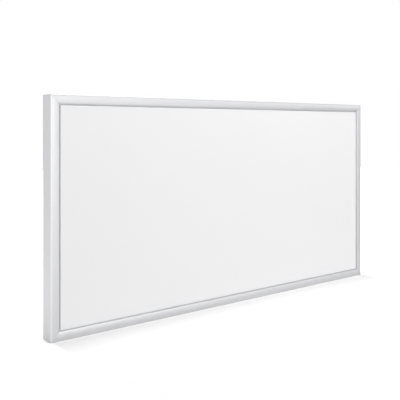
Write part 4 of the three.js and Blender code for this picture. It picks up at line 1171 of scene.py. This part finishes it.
# %% Refine a copy of a moulding
def refined(name, node):
    """A copy of a node's mesh with merged faces and rounded edges."""
    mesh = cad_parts[node].data.copy()
    work = bmesh.new()
    work.from_mesh(mesh)
    bmesh.ops.remove_doubles(work, verts=work.verts, dist=MERGE_REACH)
    bmesh.ops.dissolve_limit(work, angle_limit=FLAT_TURN, verts=work.verts, edges=work.edges)
    weight = work.edges.layers.float.new("bevel_weight_edge")
    rim = [edge for edge in work.edges if on_parting_line(edge)]
    for edge in rim:
        edge[weight] = 1.0
    work.to_mesh(mesh)
    work.free()
    mesh.materials.clear()
    mesh.materials.append(FINISHES["box_moulding"])
    made = linked(name, mesh)
    rounding(made, "parting_edge", PARTING_EDGE, MOULDED_SEGMENTS, EDGE_TURN, "WEIGHT")
    rounding(made, "soft_edge", MOULDED_EDGE, MOULDED_SEGMENTS, EDGE_TURN)
    finished(made)
    made.data.shade_smooth()
    made.data.set_sharp_from_angle(angle=SHARP_TURN)
    print(name + ":", len(rim), "edges on the parting line")
    return made


for name, node in (("box_shell", "terminal_box"), ("box_cover", "terminal_cover")):
    belongs(refined(name, node), "box_moulding", node)

# %% Lay out the gland
GLAND_DEPTH = 31.05
FLANGE_LENGTH, SLEEVE_LENGTH, NUT_LENGTH, NUT_END = 4.0, 8.0, 11.0, 2
WALL_OUTER = -48.0
THREAD_INNER = -40.3
FLANGE_OUTER = WALL_OUTER - FLANGE_LENGTH
SLEEVE_OUTER = FLANGE_OUTER - SLEEVE_LENGTH
NUT_INNER = FLANGE_OUTER - SEAT_GAP
NUT_OUTER = NUT_INNER - NUT_LENGTH
NUT_FLOOR = NUT_OUTER + NUT_END
HALF_FLATS = 7.0
HEX_CORNER = HALF_FLATS / math.cos(math.pi / 6)
BORE, SEAT, SLEEVE, THREAD = 4.1, 4.8, 5.4, 5.6
MOUTH, CROWN, CROWN_HEIGHT = 3.6, 4.4, 3.4
SMALL_EDGE = 0.2
CHAMFER = 0.4  # along the axis, and the next two lie across it
FLANGE_CHAMFER, NUT_CHAMFER = 0.6, 0.5
DOME_STEPS = 12
ROUND_SIDES = 96


def flats_row(station, radius, hexagon):
    """A row round the gland's axis, cut back to a hexagon's flats where asked."""
    row = []
    for k in range(ROUND_SIDES):
        turn = 2 * math.pi * k / ROUND_SIDES
        off_flat = (turn + math.pi / 6) % (math.pi / 3) - math.pi / 6
        reach = min(radius, HALF_FLATS / math.cos(off_flat)) if hexagon else radius
        row.append((BOX_X + station, GLAND_DEPTH + reach * math.cos(turn),
                    BOX_Z + reach * math.sin(turn)))
    return row


print("gland: nut from", NUT_OUTER, "to", NUT_INNER, "mm, flats", 2 * HALF_FLATS, "mm apart")


# %% Turn the gland and its cap
def turned(name, node, hexagonal, plain):
    """A gland piece from its rows: first those with flats, then the round ones."""
    rows = [flats_row(*row, True) for row in hexagonal]
    rows += [flats_row(*row, False) for row in plain]
    belongs(piece(name, *plank(rows, closed=True), "gland_moulding"), "gland_moulding", node)


turned("gland_body", "cable_gland",
       [(FLANGE_OUTER, HEX_CORNER - FLANGE_CHAMFER), (FLANGE_OUTER + CHAMFER, HEX_CORNER),
        (WALL_OUTER, HEX_CORNER)],
       [(WALL_OUTER, THREAD), (THREAD_INNER, THREAD), (THREAD_INNER, BORE),
        (FLANGE_OUTER, BORE), (FLANGE_OUTER, SEAT), (SLEEVE_OUTER, SEAT),
        (SLEEVE_OUTER, SLEEVE - SMALL_EDGE), (SLEEVE_OUTER + SMALL_EDGE, SLEEVE),
        (FLANGE_OUTER, SLEEVE)])
crown = []
for step in range(DOME_STEPS + 1):
    turn = QUARTER_TURN * step / DOME_STEPS
    crown.append((NUT_OUTER + CROWN_HEIGHT * (1 - math.sin(turn)),
                  CROWN + (HEX_CORNER - CROWN) * math.cos(turn)))
turned("gland_cap", "gland_nut",
       [(NUT_INNER, HEX_CORNER - NUT_CHAMFER), (NUT_INNER - CHAMFER, HEX_CORNER), *crown],
       [(NUT_OUTER, MOUTH + SMALL_EDGE), (NUT_OUTER + SMALL_EDGE, MOUTH), (NUT_FLOOR, MOUTH),
        (NUT_FLOOR, THREAD), (NUT_INNER, THREAD)])

# %% Turn the gland's sealing ring
CABLE_RADIUS = 3.4
RING_RADIUS = 4.6
SOFT_EDGE, FINE_EDGE = 0.3, 0.2


def gland_gasket():
    front, back = NUT_FLOOR + SEAT_GAP, FLANGE_OUTER - SEAT_GAP
    inner, outer, soft, fine = CABLE_RADIUS, RING_RADIUS, SOFT_EDGE, FINE_EDGE
    profile = [(inner, front + soft), (inner + soft, front), (outer - fine, front),
               (outer, front + soft), (outer, back - fine), (outer - fine, back),
               (inner + fine, back), (inner, back - fine)]
    centre = (BOX_X, GLAND_DEPTH, BOX_Z)
    return plank(lathe(profile, axis="length", centre=centre), closed=True)


belongs(piece("gland_gasket", *gland_gasket(), "seal_silicone"), "seal_silicone", "gland_seal")

# %% [markdown]
# ## Pieces that keep their model shape
#
# Everything inside the casing, such as the insulation board, the foil, the busbars and the
# leads, is hidden in every view of the closed heater, but it is real.
# These nodes keep their imported shape and only change their finish. A table says which
# finish each one takes.

# %% Finish the nodes that stay
KEPT = {
    "cast_alloy": ["corner_key_" + c for c in CORNERS],
    "carbon_film": ["heating_laminate"],
    "tinned_copper": ["busbar_top", "busbar_bottom"],
    "bright_foil": ["reflector_foil"],
    "pressed_fibre": ["insulation_board"],
    "zinc_plate": ["terminal_box_screw_1", "terminal_box_screw_2", "earth_stud", "earth_tag",
                   "earth_nut"],
    "nylon_natural": ["lead_bushing"],
    "block_moulding": ["terminal_block"],
    "gland_moulding": ["gland_locknut", "thermal_cutout"],
    "brown_sheath": ["live_lead", "cutout_lead"],
    "blue_sheath": ["neutral_lead"],
    "earth_sheath": ["earth_lead"],
}
for finish, names in KEPT.items():
    for name in names:
        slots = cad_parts[name].data.materials
        slots.clear()
        slots.append(FINISHES[finish])
print("kept nodes:", sum(len(names) for names in KEPT.values()))

# %% [markdown]
# ## Floor, background and light
#
# The heater stands on a white floor in front of a white background. The world is white for
# the camera and for reflections, and a softer white for everything else, so the pale
# surfaces do not clip. For a picture on white, a photographer lights the sweep round the
# product on its own, until it burns out, and leaves the strip in front alone, so that the
# contact shadow stays. The floor does the same with a light of its own, which shows to the
# camera and lights nothing: strong behind the heater and past its left end, weaker past its
# right end, faint further forward, and rising again far away. Reflections in the metal see
# a dimmer floor than the camera does, and a faint pool of light in front of the heater.

# %% Set the world
AMBIENT = 0.55
WHITE = (1, 1, 1, 1)


def joined(tree, operation, *values):
    """Math nodes in a row, which join the values two by two."""
    total = values[0]
    for value in values[1:]:
        total = maths(tree, operation, total, value)
    return total


def white_world():
    world = bpy.data.worlds.new("white_studio")
    bpy.context.scene.world = world
    world.use_nodes = True
    tree = world.node_tree
    tree.nodes.clear()
    path = tree.nodes.new("ShaderNodeLightPath").outputs
    shown = joined(tree, "MAXIMUM", path["Is Camera Ray"], path["Is Glossy Ray"],
                   path["Is Transmission Ray"])
    light = wire(tree, "ShaderNodeBackground", Color=WHITE,
                 Strength=ramp(tree, shown, 0.0, 1.0, low=AMBIENT))
    wire(tree, "ShaderNodeOutputWorld", Surface=light.outputs["Background"])


white_world()
print("ambient light", AMBIENT)

# %% Lay the floor
FLOOR_SIZE = 12.0
FLOOR_WHITE = 0.62
BEYOND_LIGHT, RIGHT_LIGHT, FAR_LIGHT, FORWARD_LIGHT = 0.9, 0.3, 0.52, 0.18
MIRRORED_BEYOND, MIRRORED_POOL = 0.55, 0.25
# Where each light fades in, in metres from the middle of the heater's foot
BEHIND = (-0.03, 0.03)
PAST_LEFT = (-0.59, -0.615)
PAST_RIGHT = (0.60, 0.62)
FORWARD = (-0.045, -0.125)
FAR_AWAY = (0.9, 2.2)
POOL_NEAR, POOL_FAR = (-0.45, -0.5), (-1.25, -1.2)


def floor_glow(tree):
    """The strength of the floor's own light: one for the camera, one for reflections."""
    spot = tree.nodes.new("ShaderNodeTexCoord").outputs["Object"]
    place = wire(tree, "ShaderNodeSeparateXYZ", Vector=spot).outputs
    x, y, far = place["X"], place["Y"], vectors(tree, "LENGTH", spot)
    beyond = joined(tree, "MAXIMUM", ramp(tree, y, *BEHIND), ramp(tree, x, *PAST_LEFT))
    near = joined(tree, "MAXIMUM", maths(tree, "MULTIPLY", beyond, BEYOND_LIGHT),
                  ramp(tree, x, *PAST_RIGHT, high=RIGHT_LIGHT),
                  ramp(tree, y, *FORWARD, high=FORWARD_LIGHT))
    shown = maths(tree, "ADD", near, ramp(tree, far, *FAR_AWAY, high=FAR_LIGHT))
    pool = joined(tree, "MULTIPLY", ramp(tree, y, *POOL_NEAR), ramp(tree, y, *POOL_FAR),
                  ramp(tree, x, *reversed(PAST_LEFT)), ramp(tree, x, *reversed(PAST_RIGHT)),
                  MIRRORED_POOL)
    mirrored = maths(tree, "MAXIMUM", maths(tree, "MULTIPLY", beyond, MIRRORED_BEYOND), pool)
    path = tree.nodes.new("ShaderNodeLightPath").outputs
    return maths(tree, "MAXIMUM", maths(tree, "MULTIPLY", shown, path["Is Camera Ray"]),
                 maths(tree, "MULTIPLY", mirrored, path["Is Glossy Ray"]))


def white_floor():
    material = bpy.data.materials.new("studio_floor")
    material.use_nodes = True
    tree = material.node_tree
    tree.nodes.clear()
    lit = wire(tree, "ShaderNodeBsdfDiffuse", Color=(FLOOR_WHITE,) * 3 + (1,))
    glow = wire(tree, "ShaderNodeEmission", Color=WHITE, Strength=floor_glow(tree))
    both = wire(tree, "ShaderNodeAddShader", n0=lit.outputs[0], n1=glow.outputs[0])
    wire(tree, "ShaderNodeOutputMaterial", Surface=both.outputs[0])
    half = FLOOR_SIZE / 2
    mesh = bpy.data.meshes.new("studio_floor")
    mesh.from_pydata([(-half, -half, 0), (half, -half, 0), (half, half, 0), (-half, half, 0)],
                     [], [(0, 1, 2, 3)])
    mesh.materials.append(material)
    linked("studio_floor", mesh)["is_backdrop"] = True


white_floor()
bpy.context.scene.view_settings.view_transform = "Standard"
print("floor:", FLOOR_SIZE, "m")

# %% [markdown]
# Eight soft lamps shape the metal. A low one in front gives the left upright its bright
# outer band, and a small low one on the right lights the bottom rail's middle. One overhead
# lights the plate and the bottom rail's upper band. One on the right lifts the far end,
# three on the left light the side face, and one behind lights the back for the other views.
# Each is a square that faces the heater's middle, with its place, its size and its watts.

# %% Hang the lamps
LAMPS = {
    "low_front": ((0.2, -3.4, 0.7), 1.2, 15.7),
    "low_right": ((1.6, -2.6, 0.35), 0.8, 3.5),
    "overhead": ((0.4, -0.5, 2.6), 1.0, 55.8),
    "right": ((2.6, -1.6, 1.1), 0.8, 2.3),
    "left": ((-3.6, -0.9, 1.5), 2.0, 6.9),
    "left_front": ((-3.0, -2.0, 0.5), 1.2, 7.8),
    "left_rear": ((-3.0, 1.2, 0.9), 2.0, 5.5),
    "rear": ((0.6, 3.2, 1.2), 2.0, 35),
}
for name, (place, size, watts) in LAMPS.items():
    light = bpy.data.lights.new(name + "_lamp", "AREA")
    light.shape, light.size, light.energy = "SQUARE", size, watts
    lamp = linked(name + "_lamp", light)
    lamp.location = place
    aim = Vector((0, 0, HALF_HEIGHT * MM)) - Vector(place)
    lamp.rotation_euler = aim.to_track_quat("-Z", "Y").to_euler()
print("lamps:", list(LAMPS))

# %% [markdown]
# ## Measuring the size again
#
# Dressing a model must not change its size, so we measure it again and print both sizes.

# %% Print the sizes and finish
low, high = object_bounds()
sizes = {"cad": [list(cad_low), list(cad_high)], "visual": [list(low), list(high)]}
print("sizes:", sizes)
